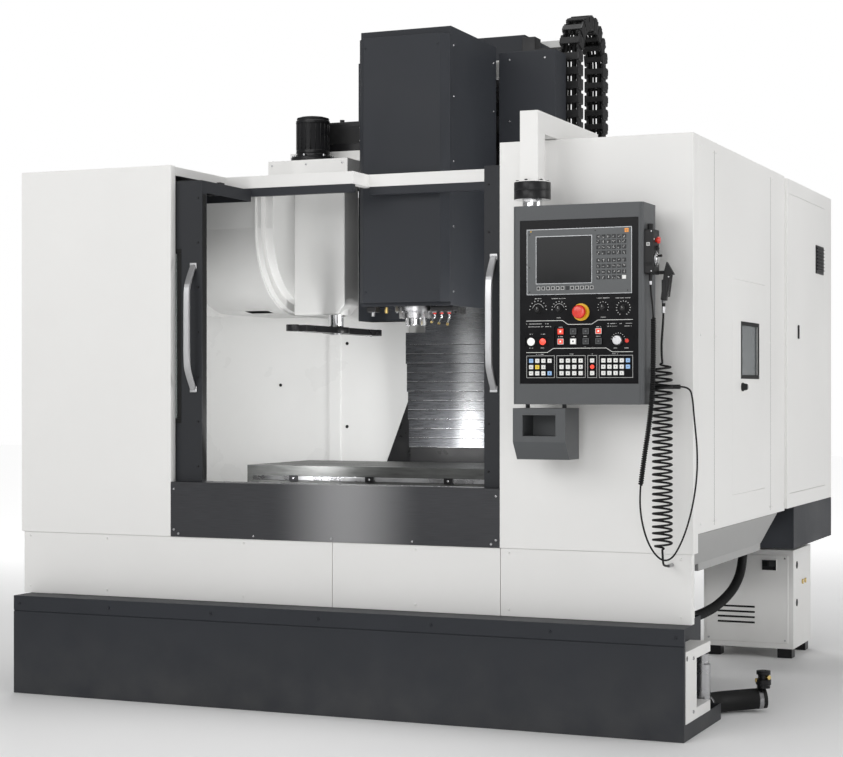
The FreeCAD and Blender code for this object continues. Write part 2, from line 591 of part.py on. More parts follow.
def build_saddle():
    casting = box("saddle_casting", ("-saddle_half", "saddle_half"),
                  ("table_y - saddle_depth / 2", "table_y + saddle_depth / 2"), ("saddle_low", "saddle_top"))
    rails = [box("x_guide", ("-saddle_half", "saddle_half"),
                 (f"table_y + {side} * x_guide_y - guide_width / 2", f"table_y + {side} * x_guide_y + guide_width / 2"),
                 ("saddle_top - 1", "table_low - running_gap")) for side in (1, -1)]
    screw = rod("x_screw", "x", ("-saddle_half", "table_y", "saddle_top + screw_radius + 2"),
                "screw_radius", "saddle_half * 2 + 30")
    bearings = [box("x_bearing", (f"{x}", f"{x} + 30"), ("table_y - 40", "table_y + 40"),
                    ("saddle_top - 1", "table_low - 6")) for x in ("-saddle_half", "saddle_half - 30")]
    motor = box("x_motor", ("saddle_half", "saddle_half + 130"), ("table_y - 52", "table_y + 52"),
                ("table_low - 110", "table_low - 4"))
    return fuse("saddle_all", casting, screw, motor, *rails, *bearings)


def build_table():
    plate = box("table_plate", ("table_x - table_length / 2", "table_x + table_length / 2"),
                ("table_front", "table_rear"), ("table_low", "table_top"))
    slots = []
    for number in range(-2, 3):
        middle = f"table_y + {number} * slot_pitch"
        span = ("table_x - table_length / 2 - 1", "table_x + table_length / 2 + 1")
        slots.append(box("slot_mouth_cut", span, (f"{middle} - slot_width / 2", f"{middle} + slot_width / 2"),
                         ("table_top - slot_mouth", "table_top + 1")))
        slots.append(box("slot_tee_cut", span, (f"{middle} - slot_wide / 2", f"{middle} + slot_wide / 2"),
                         ("table_top - slot_mouth - slot_tee", "table_top - slot_mouth")))
    return cut("table_slotted", plate, *slots)


def build_head_casting():
    block = box("head_block", ("-head_half", "head_half"), ("head_front", "head_back"),
                ("head_bottom", "head_top"))
    core = box("head_core", ("-head_half + 40", "head_half - 40"), ("spindle_y + 140", "head_back - 40"),
               ("head_bottom + 40", "head_top - 40"))
    bore = rod("head_bore", "z", (0, "spindle_y", "head_bottom - 1"), "quill_radius + bearing_gap", "head_height + 2")
    carriages = [box("carriage", across(side, "z_guide_x - 40", "z_guide_x + 28"),
                     ("head_back - 30", "head_back + 10 - running_gap"),
                     (f"head_bottom + {rise}", f"head_bottom + {rise} + 130"))
                 for side in (1, -1) for rise in (40, 420)]
    nut = box("z_nut", (-42, 42), ("head_back - 1", "back_wall - 4"),
              ("head_bottom + 260", "head_bottom + 350"))
    nut_bore = rod("z_nut_bore", "z", (0, "back_wall - 25", "head_bottom + 200"), "screw_radius + bearing_gap", 250)
    return cut("head_bored", fuse("head_body", block, nut, *carriages), bore, core, nut_bore)


def build_front_cover():
    def outline(inset):
        half, face = f"front_cover_half - {inset}", f"front_cover_face + {inset}"
        return [(f"-({half})", "cover_join"), (f"-({half})", f"{face} + cover_chamfer"),
                (f"-({half}) + cover_chamfer", face), (f"{half} - cover_chamfer", face),
                (half, f"{face} + cover_chamfer"), (half, "cover_join")]

    outer = prism("front_cover_outer", "XY", outline("0"), ("front_cover_bottom", "front_cover_top"))
    inner = outline("sheet")
    inner[0] = (inner[0][0], "cover_join + 1")
    inner[-1] = (inner[-1][0], "cover_join + 1")
    hollow = prism("front_cover_inner", "XY", inner, ("front_cover_bottom - 1", "front_cover_top - sheet"))
    return cut("front_cover", outer, hollow)


def build_rear_cover():
    body = shell("rear_cover_shell", ("-rear_cover_half", "rear_cover_half"), ("cover_join", "rear_cover_back"),
                 ("rear_cover_bottom", "rear_cover_top"), "sheet", "y+ z-")
    floor = box("rear_cover_floor", ("-rear_cover_half", "rear_cover_half"), ("cover_join", "rear_cover_back"),
                ("head_bottom - sheet - 1", "head_bottom"))
    throat = rod("rear_cover_throat", "z", (0, "spindle_y", "head_bottom - 10"), "flange_radius + 1", 20)
    return fuse("rear_cover", body, cut("rear_cover_plate", floor, throat))


def build_cartridge():
    inner = "shaft_radius + bearing_gap"
    profile = [(inner, "ring_low"), ("ring_radius", "ring_low"), ("ring_radius", "flange_low"),
               ("flange_radius", "flange_low"), ("flange_radius", "head_bottom"),
               ("quill_radius", "head_bottom"), ("quill_radius", "head_bottom + 380"), (inner, "head_bottom + 380")]
    return turned("cartridge", "z", (0, "spindle_y", 0), profile)


def build_nose():
    low = "nose_bottom"
    mouth = f"{low} + taper_length"
    profile = [("taper_radius", low), ("nose_radius", low), ("nose_radius", "ring_low - running_gap"),
               ("shaft_radius", "ring_low - running_gap"), ("shaft_radius", "head_top - 130"),
               ("drawbar_radius", "head_top - 130"), ("drawbar_radius", mouth), ("taper_small", mouth)]
    return turned("nose", "z", (0, "spindle_y", 0), profile)


def build_spindle_motor():
    body = box("spindle_motor_body", ("-motor_half", "motor_half"), ("spindle_y - motor_half", "spindle_y + motor_half"),
               ("head_top", "head_top + motor_height"))
    plate = box("spindle_motor_plate", ("-head_half + 5", "head_half - 5"), ("head_front + 5", "spindle_y + 130"),
                ("head_top", "head_top + 20"))
    return fuse("spindle_motor_all", body, plate)


def build_section(number):
    """Telescopic section: 1 is the lowest and innermost, 4 the highest and outermost."""
    steps = 4 - number
    half = f"section_half - {steps} * section_depth"
    face = f"section_front + {steps} * section_step"
    low = f"slat_low + {number - 1} * section_pitch - slat_overlap"
    ends = []
    for slat in range(int(SIZES["slats_each"])):
        foot = f"{low} + {slat} * slat_pitch"
        ends.append((f"{face} - slat_lean + 3", foot))
        ends.append((face, f"{foot} + slat_pitch"))
    roof = f"{low} + section_pitch + slat_overlap"
    ends.append((face, roof))
    back = [(f"{y} + slat_gauge", z) for y, z in reversed(ends)]
    front = prism(f"slats_{number}", "YZ", ends + back, (f"-({half})", half))
    wings = [box(f"wing_{number}", across(side, f"{half} - slat_gauge", half), (f"{face} + 1", "way_face"), (low, roof))
             for side in (1, -1)]
    hangers = [box("section_hanger", ("-head_half", "head_half"), (face, f"{face} + slat_gauge"),
                   (f"{roof} - 2", "head_bottom"))] if number == 4 else []
    return fuse(f"section_{number}", front, *wings, *hangers)


# ---------------------------------------------------------------- tool changer
def build_magazine_cover():
    """Drum cover whose front and underside are one bend, with a rib round its open side."""
    def drum(name, inset, top_inset, x):
        front, back = f"magazine_front + {inset}", f"magazine_back - {top_inset}"
        low, high = f"magazine_bottom + {inset}", f"magazine_top - {top_inset}"
        outline = prism(name + "_body", "YZ", [(front, high), (front, low), (back, low), (back, high)], x)
        knee = lambda middle: middle.y < size(front) + 20 and middle.z < size(low) + 20
        return rounded(name, outline, f"magazine_bend - ({inset})", V(1, 0, 0), knee)

    outer = drum("magazine_outer", "0", "0", ("-magazine_left", "-magazine_right"))
    rib = drum("magazine_rib_outer", "-magazine_rib", "0", ("-magazine_right - 30", "-magazine_right - 22"))
    inner = drum("magazine_inner", "sheet", "sheet", ("-magazine_left + sheet", "-magazine_right - sheet"))
    exit_hole = box("magazine_exit", ("-arm_x * 2 - 60", "-arm_x * 2 + 60"), ("spindle_y - 60", "spindle_y + 60"),
                    ("magazine_bottom - 5", "magazine_bottom + 10"))
    axle = rod("magazine_axle", "x", ("-magazine_right - sheet - 150", "spindle_y", "disc_z"), "axle_radius", 151)
    shelf = box("magazine_shelf", ("-magazine_left + 60", "-magazine_right - 60"), ("magazine_back - sheet", "back_wall - wall_strip"),
                ("magazine_bottom + 60", "magazine_bottom + 100"))
    walls = cut("magazine_shell", fuse("magazine_drum", outer, rib), inner, exit_hole)
    cheek_x = ("-magazine_right - 1", "-magazine_right + cheek_depth")
    cheek = cut("magazine_cheek", drum("cheek_outer", "cheek_inset", "0", cheek_x),
                drum("cheek_inner", "cheek_inset + sheet", "sheet",
                     ("-magazine_right", "-magazine_right + cheek_depth - sheet")))
    tube_at = ("-arm_x", "spindle_y", "collar_low")
    tube = cut("arm_tube", rod("arm_tube_outer", "z", tube_at, "arm_hub", "magazine_top - collar_low"),
               rod("arm_tube_bore", "z", tube_at, "arm_shaft + bearing_gap", "magazine_top - collar_low + 1"))
    return group("magazine_parts", fuse("magazine_all", walls, axle, shelf, cheek), tube)


def build_magazine_disc():
    start = "-arm_x * 2"
    plate = rod("disc_plate", "x", (start, "spindle_y", "disc_z"), "disc_radius", "disc_thick")
    hub = rod("disc_hub", "x", (f"{start} - 20", "spindle_y", "disc_z"), "axle_radius + 20", "disc_thick + 60")
    pots = []
    for number in range(int(SIZES["pot_count"])):
        angle = f"({number} + 0.5) * 360 / pot_count"
        pots.append(rod(f"pot_{number}", "x",
                        (f"{start} - pot_length", f"spindle_y + pot_circle * cos({angle})",
                         f"disc_z + pot_circle * sin({angle})"), "pot_radius", "pot_length + disc_thick"))
    bore = rod("disc_bore", "x", (f"{start} - 30", "spindle_y", "disc_z"), "axle_radius + bearing_gap", 200)
    return cut("disc", fuse("disc_body", plate, hub, *pots), bore)


def build_gearbox():
    """Stepped gear housing on top of the changer, with its bracket to the column."""
    across_x = ("-gearbox_left", "-gearbox_right")
    front = box("gearbox_front_half", across_x, ("gearbox_front", "gearbox_step"), ("magazine_top", "gearbox_shelf"))
    back = box("gearbox_back_half", across_x, ("gearbox_step - 1", "gearbox_back"), ("magazine_top", "gearbox_top"))
    bracket = box("gearbox_bracket", ("-bracket_outer", "-bracket_inner"), ("gearbox_back - 1", "back_wall"),
                  ("bracket_low", "bracket_high"))
    cavity = box("gearbox_cavity", ("-gearbox_left + 20", "-gearbox_right - 20"),
                 ("gearbox_front + 20", "gearbox_back - 20"), ("magazine_top + 20", "gearbox_shelf - 20"))
    return cut("gearbox", fuse("gearbox_body", front, back, bracket), cavity)


def build_arm_shaft():
    return rod("shaft", "z", ("-arm_x", "spindle_y", "arm_low + 4"), "arm_shaft", "magazine_top - arm_low - 34")


def build_exchange_arm():
    """Twin arm parked square to the line from the spindle to the magazine."""
    low, high = "arm_low", "arm_low + arm_thick"
    hub = rod("arm_hub_disc", "z", ("-arm_x", "spindle_y", low), "arm_hub", "arm_thick")
    bar = box("arm_bar", ("-arm_x - 34", "-arm_x + 34"), ("spindle_y - arm_x - 10", "spindle_y + arm_x + 10"), (low, high))
    ends, jaws = [], []
    for side in (1, -1):
        spot = ("-arm_x", f"spindle_y + {side} * arm_x")
        ends.append(rod("jaw_disc", "z", (*spot, low), "jaw_radius + jaw_wall", "arm_thick"))
        jaws.append(rod("jaw_round", "z", (*spot, f"{low} - 1"), "jaw_radius", "arm_thick + 2"))
        jaws.append(box("jaw_mouth", ("-arm_x - jaw_radius * 2" if side > 0 else "-arm_x",
                                      "-arm_x" if side > 0 else "-arm_x + jaw_radius * 2"),
                        (f"{spot[1]} - jaw_radius", f"{spot[1]} + jaw_radius"), (f"{low} - 1", f"{high} + 1")))
    bore = rod("arm_bore", "z", ("-arm_x", "spindle_y", "arm_low + 3.5"), "arm_shaft + bearing_gap", "arm_thick + 2")
    return cut("arm", fuse("arm_body", hub, bar, *ends), bore, *jaws)


# ---------------------------------------------------------------- pendant
def build_pendant_arm():
    tube = ("arm_x_left", "arm_x_left + arm_side")
    deep = ("-arm_front", "-arm_front + arm_tube - 3")
    upright = box("arm_upright", tube, deep, ("swivel_high - 1", "arm_top"))
    level = box("arm_level", tube, ("-arm_front", "arm_reach"), ("arm_top - arm_tube", "arm_top"))
    foot = box("arm_foot", ("arm_x_left - 20", "arm_x_left + arm_side + 20"), ("arm_reach - 160", "arm_reach"),
               ("left_height", "arm_top - arm_tube + 1"))
    flange = rod("swivel_top", "z", ("swivel_x", "-swivel_y", "swivel_low + 32"), "swivel_radius",
                 "swivel_high - swivel_low - 32")
    spigot = rod("swivel_spigot", "z", ("swivel_x", "-swivel_y", "swivel_low + 8"), 18, 30)
    return fuse("pendant_arm_all", upright, level, foot, flange, spigot)


def build_pendant_housing():
    outer = box("pendant_outer", ("pendant_left", "pendant_right"), ("-pendant_front", "-pendant_back"),
                ("pendant_low", "pendant_high"))
    soft = rounded("pendant_soft", outer, 14, V(0, 0, 1), lambda middle: middle.y < -size("pendant_back") - 1)
    hollow = box("pendant_hollow", ("pendant_left + 6", "pendant_right - 6"),
                 ("panel_face + panel_thick + 1", "-pendant_back - 3"), ("pendant_low + 6", "pendant_high - 6"))
    mouth = box("pendant_mouth", ("panel_left", "panel_right"), ("-pendant_front - 1", "panel_face + panel_thick + 2"),
                ("panel_low", "panel_high"))
    neck = rod("pendant_neck", "z", ("swivel_x", "-swivel_y", "pendant_high - 1"), 36, "swivel_low - pendant_high + 2")
    disc = rod("pendant_disc", "z", ("swivel_x", "-swivel_y", "swivel_low"), "swivel_radius", "32 - running_gap")
    socket = rod("pendant_socket", "z", ("swivel_x", "-swivel_y", "swivel_low + 7"), "18 + bearing_gap", 40)
    right = "pendant_left + holder_width"
    top = "pendant_low - holder_gap"
    holder = prism("holder_body", "YZ", [("-pendant_front", top), ("-pendant_front", "holder_knee"),
                                         ("-pendant_front + 45", "holder_low"), ("-pendant_back", "holder_low"),
                                         ("-pendant_back", top)], ("pendant_left", right))
    bay = box("holder_bay", ("pendant_left + 38", f"{right} - 38"), ("-pendant_front - 1", "-pendant_back - 40"),
              ("holder_knee + 22", f"{top} - 22"))
    posts = [rod("holder_post", "z", (x, "-(pendant_front + pendant_back) / 2", f"{top} - 1"), 8, "holder_gap + 2")
             for x in ("pendant_left + 30", f"{right} - 30")]
    case = cut("pendant_case", fuse("pendant_case_body", soft, neck, disc), hollow, mouth, socket)
    return fuse("pendant_all", case, cut("holder", holder, bay), *posts)


# keypads as (low x, high x, low z, high z, columns, rows) on the panel
KEYPADS = [
    (1183, 1299, 1673, 1836, 6, 8), (955, 1177, 1636, 1655, 12, 1), (924, 1019, 1325, 1393, 4, 3),
    (1041, 1138, 1325, 1393, 4, 3), (1158, 1181, 1325, 1393, 1, 3), (1200, 1315, 1325, 1393, 5, 3),
    (1025, 1217, 1433, 1506, 4, 2), (912, 1003, 1437, 1466, 2, 1),
]


def build_panel():
    plate = box("panel_plate", ("panel_left + 0.3", "panel_right - 0.3"), ("panel_face", "panel_face + panel_thick + 3"),
                ("panel_low + 0.3", "panel_high - 0.3"))
    collar = rod("stop_collar", "y", (1128, "panel_face - 6", 1557), "stop_radius + 6", 7)
    well = rod("stop_well", "y", (1128, "panel_face - 7", 1557), "11.3", "panel_thick + 2")
    pockets = [box("pad_pocket", (left - 0.3, right + 0.3), ("panel_face - 1", "panel_face + pad_depth"),
                   (low - 0.3, high + 0.3)) for left, right, low, high, columns, rows in KEYPADS]
    back = box("panel_lid", ("panel_left - 10", "panel_right + 10"), ("panel_face + panel_thick + 1",
               "panel_face + panel_thick + 3"), ("panel_low - 10", "panel_high + 10"))
    return cut("panel_cut", fuse("panel_body", plate, back, collar), well, *pockets)


def build_keys():
    pads = []
    rear = "panel_face + pad_depth - key_travel - 0.5"
    for left, right, low, high, columns, rows in KEYPADS:
        mat = box("key_mat", (left, right), ("panel_face + 1", rear), (low, high))
        wide, tall = (right - left) / columns, (high - low) / rows
        gap = 0.14 * min(wide, tall)
        caps = [box("key", (left + column * wide + gap, left + (column + 1) * wide - gap),
                    ("panel_face - key_rise", "panel_face + 2"), (low + line * tall + gap, low + (line + 1) * tall - gap))
                for column in range(columns) for line in range(rows)]
        pads.append(fuse("keypad", mat, *caps))
    return group("keys", *pads)


def build_stop_button():
    profile = [("0", "0"), ("11", "0"), ("11", "14"), ("stop_radius", "16"), ("stop_radius", "26"),
               ("stop_radius - 6", "31"), ("0", "32")]
    return turned("stop", "-y", (1128, "panel_face - running_gap - 6", 1557), profile)


def build_dial(name, x, z, radius, height):
    profile = [("0", "0"), (f"{radius}", "0"), (f"{radius}", f"{height} - 3"), (f"{radius} - 2.5", height),
               ("0", height)]
    return turned(name, "-y", (x, "panel_face - running_gap", z), profile)


def build_handset():
    left = "pendant_right + running_gap"
    body = box("handset_body", (left, "handset_right"), ("-handset_front", "-handset_front + handset_depth"),
               ("handset_low", "handset_high"))
    soft = rounded("handset_soft", body, 6, V(1, 0, 0))
    cap = rod("handset_cap", "z", (f"{left} + 14", "-handset_front + 30", "handset_high - 1"), 11, 22)
    relief = rod("handset_relief", "z", (f"{left} + 16", "-cable_y", "handset_low - 25"), 6, 26)
    hook = box("handset_hook", ("handset_right - 1", "1410.7"), ("-hose_y - 13", "-hose_y + 1"),
               (1692, 1704))
    hook_arm = box("handset_hook_arm", ("handset_right - 1", "handset_right + 6"), ("-handset_front + 60", "-hose_y + 1"),
                   (1692, 1704))
    return fuse("handset", soft, cap, relief, hook, hook_arm)


def build_handwheel():
    profile = [("0", "0"), ("27", "0"), ("27", "5"), ("24", "9"), ("0", "9")]
    return turned("wheel", "x", ("handset_right + running_gap", "-handset_front + 38", 1745), profile)


def build_air_gun():
    points = [(1400, 1600), (1420, 1597), (1434, 1688), (1449, 1690), (1422, 1737), (1412, 1700)]
    body = prism("gun_body", "XZ", points, ("-hose_y - 11", "-hose_y + 11"))
    inlet = rod("gun_inlet", "z", (1409, "-hose_y", 1572), 6.5, 32)
    return fuse("gun", body, inlet)


# Routes of the hose and the cable, each a list of corners chosen by hand (x, y, z).
HOSE_DROP = [(1409, -165, 1572), (1407, -165, 1524), (1403, -165, 1472), (1400, -165, 1420), (1404, -165, 1372)]
HOSE_TAIL = [(1404, -165, 700), (1405, -162, 664), (1398, -130, 642), (1393, -82, 634), (1392, -40.8, 630)]
CABLE_DROP = [(1376, -222, 1665), (1378, -222, 1625), (1384, -222, 1580), (1387, -222, 1535)]
CABLE_COIL = [(1387, -222, 1535), (1387, -222, 1400), (1385, -222, 1280), (1372, -222, 1150), (1352, -222, 1030),
              (1340, -222, 932)]
CABLE_LOOP = [(1340, -222, 932), (1337, -222, 890), (1339, -222, 840), (1348, -223, 788), (1364, -225, 738),
              (1388, -226, 694), (1421, -225, 664), (1454, -220, 672), (1478, -212, 712), (1497, -200, 762),
              (1512, -188, 820), (1522, -174, 880), (1528, -161, 942), (1529, -149, 1005), (1525, -138, 1068),
              (1517, -129, 1128), (1508, -120, 1190), (1503, -114, 1238), (1492, -112, 1287), (1456, -112, 1287)]
CONDUIT = [(1330, 1380, 599.6), (1330, 1365, 500), (1330, 1230, 430), (1330, 1050, 396), (1330, 870, 378),
           (1330, 700, 374), (1330, 560, 375), (1330, 420.6, 375)]
DRAIN = [(1405, 420.5, 46), (1405, 500, 46), (1450, 570, 46), (1515, 625, 48), (1590, 665, 54)]


def route_wire(points):
    """Straight runs joined by tangent arcs, each as large as its two runs allow."""
    corners = [V(*point) for point in points]
    edges, radii = [], []
    last = corners[0]
    for before, corner, after in zip(corners, corners[1:], corners[2:]):
        back, ahead = (before - corner), (after - corner)
        reach = 0.45 * min(back.Length, ahead.Length)
        back.normalize()
        ahead.normalize()
        turn = math.pi - back.getAngle(ahead)
        start, end = corner + back * reach, corner + ahead * reach
        half = (math.pi - turn) / 2
        inward = (back + ahead).normalize()
        radius = reach / math.tan(turn / 2)
        middle = corner + inward * (radius / math.sin(half) - radius)
        edges.append(Part.LineSegment(last, start).toShape())
        edges.append(Part.Arc(start, middle, end).toShape())
        radii.append(radius)
        last = end
    edges.append(Part.LineSegment(last, corners[-1]).toShape())
    return Part.Wire(edges), radii


def tube(name, points, radius):
    """Solid tube along a route; prints its radii and checks its volume."""
    wire, radii = route_wire(points)
    start = V(*points[0])
    circle = Part.makeCircle(radius, start, V(*points[1]) - start)
    solid = wire.makePipeShell([Part.Wire(circle)], True, True)
    expected = math.pi * radius ** 2 * wire.Length
    print(f"{name}: length {wire.Length:.0f} mm, smallest radius {min(radii):.0f} mm, "
          f"volume {solid.Volume / expected:.4f} of section times length")
    thing = doc.addObject("Part::Feature", name)
    thing.Shape = solid
    return thing


def build_trigger():
    points = [(1437.5, 1688), (1441.5, 1688), (1431, 1610), (1427, 1610)]
    return prism("trigger", "XZ", points, ("-hose_y - 6", "-hose_y + 6"))


def build_air_hose():
    drop = tube("hose_drop", HOSE_DROP, size("hose_radius"))
    tail = tube("hose_tail", HOSE_TAIL, size("hose_radius"))
    return group("hose", drop, tail)


def build_hose_coil():
    top, low = HOSE_DROP[-1], HOSE_TAIL[0]
    return rod("hose_spring", "z", (low[0], low[1], low[2]), "hose_coil_radius", top[2] - low[2])


def build_cable():
    drop = tube("cable_drop", CABLE_DROP, size("cable_radius"))
    loop = tube("cable_loop", CABLE_LOOP, size("cable_radius"))
    return group("cable", drop, loop)


def build_floor_pipes():
    conduit = tube("conduit", CONDUIT, 21)
    drain = tube("drain", DRAIN, 42)
    union = rod("drain_union", "z", (DRAIN[-1][0] - 3, DRAIN[-1][1] - 20, DRAIN[-1][2] + 42.3), 30, 70)
    return group("pipes", conduit, drain, union)


def build_fittings():
    """Hose elbow on the plinth panel."""
    post = rod("elbow_post", "y", (1392, -40, 630), 7, "plinth_setback + 40")
    return post


def build_gland():
    return rod("gland", "x", ("pendant_right", -112, 1287), 8, "96")


def build_knob():
    profile = [("0", "0"), ("17", "0"), ("17", "8"), ("12", "22"), ("0", "24")]
    return turned("knob", "x", ("half_width + running_gap", 756, 1288), profile)


def build_latch():
    plate = box("latch_plate", ("cabinet_side + running_gap", "cabinet_side + 6"), (1770, 1790), (1508, 1570))
    return rounded("latch_soft", plate, 8, V(1, 0, 0))


def build_chain():
    """Cable chain: a loop with a short front run and a longer back run."""
    x = ("chain_left", "chain_left + chain_width")
    inner = "chain_outer - chain_thick"
    outside = fuse("chain_outside",
                   box("chain_outer_box", x, ("chain_y - chain_outer", "chain_y + chain_outer"),
                       ("chain_back_end", "chain_axis")),
                   rod("chain_outer_round", "x", ("chain_left", "chain_y", "chain_axis"), "chain_outer", "chain_width"))
    inside = fuse("chain_inside",
                  box("chain_inner_box", ("chain_left - 1", "chain_left + chain_width + 1"),
                      (f"chain_y - ({inner})", f"chain_y + ({inner})"), ("chain_back_end - 1", "chain_axis")),
                  rod("chain_inner_round", "x", ("chain_left - 1", "chain_y", "chain_axis"), inner, "chain_width + 2"))
    short = box("chain_short", ("chain_left - 1", "chain_left + chain_width + 1"),
                ("chain_y - chain_outer - 1", "chain_y"), ("chain_back_end - 1", "chain_front_end"))
    return cut("chain", outside, inside, short)


# ---------------------------------------------------------------- assembly
node("coolant_tank", build_tank())
node("bed_casting", build_bed())
node("levelling_feet", build_feet())
node("column_casting", build_column())
node("column_covers", build_column_covers())
node("front_panels", build_front_panels())
node("apron_and_rails", build_apron())
node("side_panels", build_side_panels())
node("door_beam", build_beam())
node("inner_panels", build_inner_panels())
node("chip_hopper", build_hopper())
node("rear_cabinets", build_cabinets())
node("rear_unit", build_rear_unit())
node("magazine_cover", build_magazine_cover())
node("changer_gearbox", build_gearbox())
node("servo_motors", build_servo_motors())
node("axis_guides", build_guides())
node("pendant_arm", group("arm_and_elbow", build_pendant_arm(), build_fittings()))
node("floor_pipes", build_floor_pipes())
node("drag_chain", build_chain())

node("left_door", build_door("left", "-left_door_edge - left_door_width", "-left_door_edge", "door_rear_left"))
node("left_handle", build_handle("left", "-left_door_edge - handle_inset"))
node("right_door", build_door("right", "right_door_edge", "right_door_edge + right_door_width", "door_rear_right"))
node("right_handle", build_handle("right", "right_door_edge + handle_inset"))
node("service_door", build_service_door())
node("service_knob", build_knob())
node("cabinet_door", build_cabinet_door())
node("cabinet_latch", build_latch())

node("saddle", build_saddle())
node("table", build_table())
node("head_casting", build_head_casting())
node("head_front_cover", build_front_cover())
node("head_rear_cover", build_rear_cover())
node("spindle_cartridge", build_cartridge())
node("spindle_nose", build_nose())
node("spindle_motor", build_spindle_motor())
for section in (4, 3, 2, 1):
    node(f"way_cover_{section}", build_section(section))

node("magazine_disc", build_magazine_disc())
node("changer_shaft", build_arm_shaft())
node("exchange_arm", build_exchange_arm())

node("pendant_housing", group("housing_and_gland", build_pendant_housing(), build_gland()))
node("pendant_panel", build_panel())
node("panel_keys", build_keys())
node("stop_button", build_stop_button())
node("feed_dial", build_dial("feed", 1267, 1454, "feed_radius", "20"))
for number, (x, z) in enumerate(((962, 1569), (1043, 1570), (1210, 1573), (1286, 1569)), start=1):
    node(f"dial_{number}", build_dial(f"small_dial_{number}", x, z, "dial_radius", "14"))
node("handset", build_handset())
node("handwheel", build_handwheel())
node("air_gun", build_air_gun())
node("air_gun_trigger", build_trigger())
node("air_hose", build_air_hose())
node("air_hose_coil", build_hose_coil())
node("handset_cable", build_cable())
node("handset_cable_coil", tube("cable_spring", CABLE_COIL, size("cable_coil_radius")))

doc.recompute()
for thing in doc.Objects:
    if "Invalid" in thing.State or "Error" in thing.State:
        raise RuntimeError(f"{thing.Name} ({thing.Label}) did not compute: {thing.State}")
os.makedirs("parts", exist_ok=True)
for name, thing in nodes.items():
    shape = thing.Shape
    if shape.isNull() or not shape.isValid() or not shape.Solids:
        raise RuntimeError(f"{name} has no valid solid")
    shape.exportStep(f"parts/{name}.step")
print(len(nodes), "nodes,", sum(len(thing.Shape.Solids) for thing in nodes.values()), "solids")
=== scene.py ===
"""Looks of the vertical machining center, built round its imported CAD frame. Units are metres."""

import math
import random

import bmesh
import bpy
from mathutils import Matrix, Vector


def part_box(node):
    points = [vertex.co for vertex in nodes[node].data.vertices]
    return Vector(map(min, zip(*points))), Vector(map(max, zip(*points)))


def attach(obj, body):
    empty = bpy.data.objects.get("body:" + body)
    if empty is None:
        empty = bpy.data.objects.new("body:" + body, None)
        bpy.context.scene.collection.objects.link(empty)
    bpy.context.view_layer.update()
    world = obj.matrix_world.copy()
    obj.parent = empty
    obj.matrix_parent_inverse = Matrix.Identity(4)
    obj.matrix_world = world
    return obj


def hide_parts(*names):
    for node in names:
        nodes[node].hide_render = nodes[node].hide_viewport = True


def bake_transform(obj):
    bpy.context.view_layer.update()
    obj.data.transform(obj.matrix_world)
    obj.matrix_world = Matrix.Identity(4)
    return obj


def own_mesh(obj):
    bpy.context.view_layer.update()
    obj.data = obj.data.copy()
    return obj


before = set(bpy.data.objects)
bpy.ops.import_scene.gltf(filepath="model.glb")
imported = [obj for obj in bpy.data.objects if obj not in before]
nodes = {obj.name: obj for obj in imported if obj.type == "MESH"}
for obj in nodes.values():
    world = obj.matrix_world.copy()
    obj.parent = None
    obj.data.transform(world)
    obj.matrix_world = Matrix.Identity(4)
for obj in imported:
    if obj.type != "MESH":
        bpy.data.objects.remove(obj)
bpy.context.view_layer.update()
scene = bpy.context.scene

# ---------------------------------------------------------------- camera, light and floor
CAMERA_AT = (3.268, -6.725, 1.273)
CAMERA_TURN = math.radians(23.17)
LENS_MM = 80.2
SHIFT_UP = 0.0144

camera_data = bpy.data.cameras.new("camera")
camera_data.lens = LENS_MM
camera_data.sensor_width = 36.0
camera_data.shift_y = SHIFT_UP
camera_data.clip_end = 200.0
camera = bpy.data.objects.new("camera", camera_data)
camera.location = CAMERA_AT
camera.rotation_euler = (math.pi / 2, 0.0, CAMERA_TURN)
scene.collection.objects.link(camera)
scene.camera = camera
scene.view_settings.view_transform = "Standard"


def softbox(name, at, aim, width, height, power):
    data = bpy.data.lights.new(name, "AREA")
    data.shape = "RECTANGLE"
    data.size, data.size_y = width, height
    data.energy = power
    light = bpy.data.objects.new(name, data)
    light.location = at
    light.rotation_euler = (Vector(aim) - Vector(at)).to_track_quat("-Z", "Y").to_euler()
    scene.collection.objects.link(light)


softbox("key_light", (-2.2, -7.6, 4.2), (0, 0.4, 1.2), 5.0, 4.0, 210)
softbox("front_light", (2.5, -7.5, 2.4), (0, 0.4, 1.2), 3.0, 3.4, 128)
softbox("side_light", (7.5, 0.6, 3.0), (1.3, 1.0, 1.2), 4.0, 4.0, 165)
softbox("top_light", (0, 0.8, 6.2), (0, 0.8, 0), 4.5, 3.5, 140)
softbox("inside_left", (-0.40, 0.18, 1.05), (-1.15, 1.42, 1.50), 0.22, 0.25, 7.0)
softbox("inside_right", (1.25, 0.55, 1.16), (-1.10, 1.45, 1.22), 0.6, 0.34, 19)
softbox("back_light", (-4.0, 7.5, 4.5), (0, 1.6, 1.4), 4.5, 3.5, 170)

world = bpy.data.worlds.new("studio")
scene.world = world
world.use_nodes = True
sky = world.node_tree
ambient, backdrop = sky.nodes["Background"], sky.nodes.new("ShaderNodeBackground")
for shade, strength in ((ambient, 0.28), (backdrop, 1.0)):
    shade.inputs["Color"].default_value = (1.0, 1.0, 1.0, 1.0)
    shade.inputs["Strength"].default_value = strength
either = sky.nodes.new("ShaderNodeMixShader")
sky.links.new(sky.nodes.new("ShaderNodeLightPath").outputs["Is Camera Ray"], either.inputs["Fac"])
sky.links.new(ambient.outputs[0], either.inputs[1])
sky.links.new(backdrop.outputs[0], either.inputs[2])
sky.links.new(either.outputs[0], sky.nodes["World Output"].inputs["Surface"])


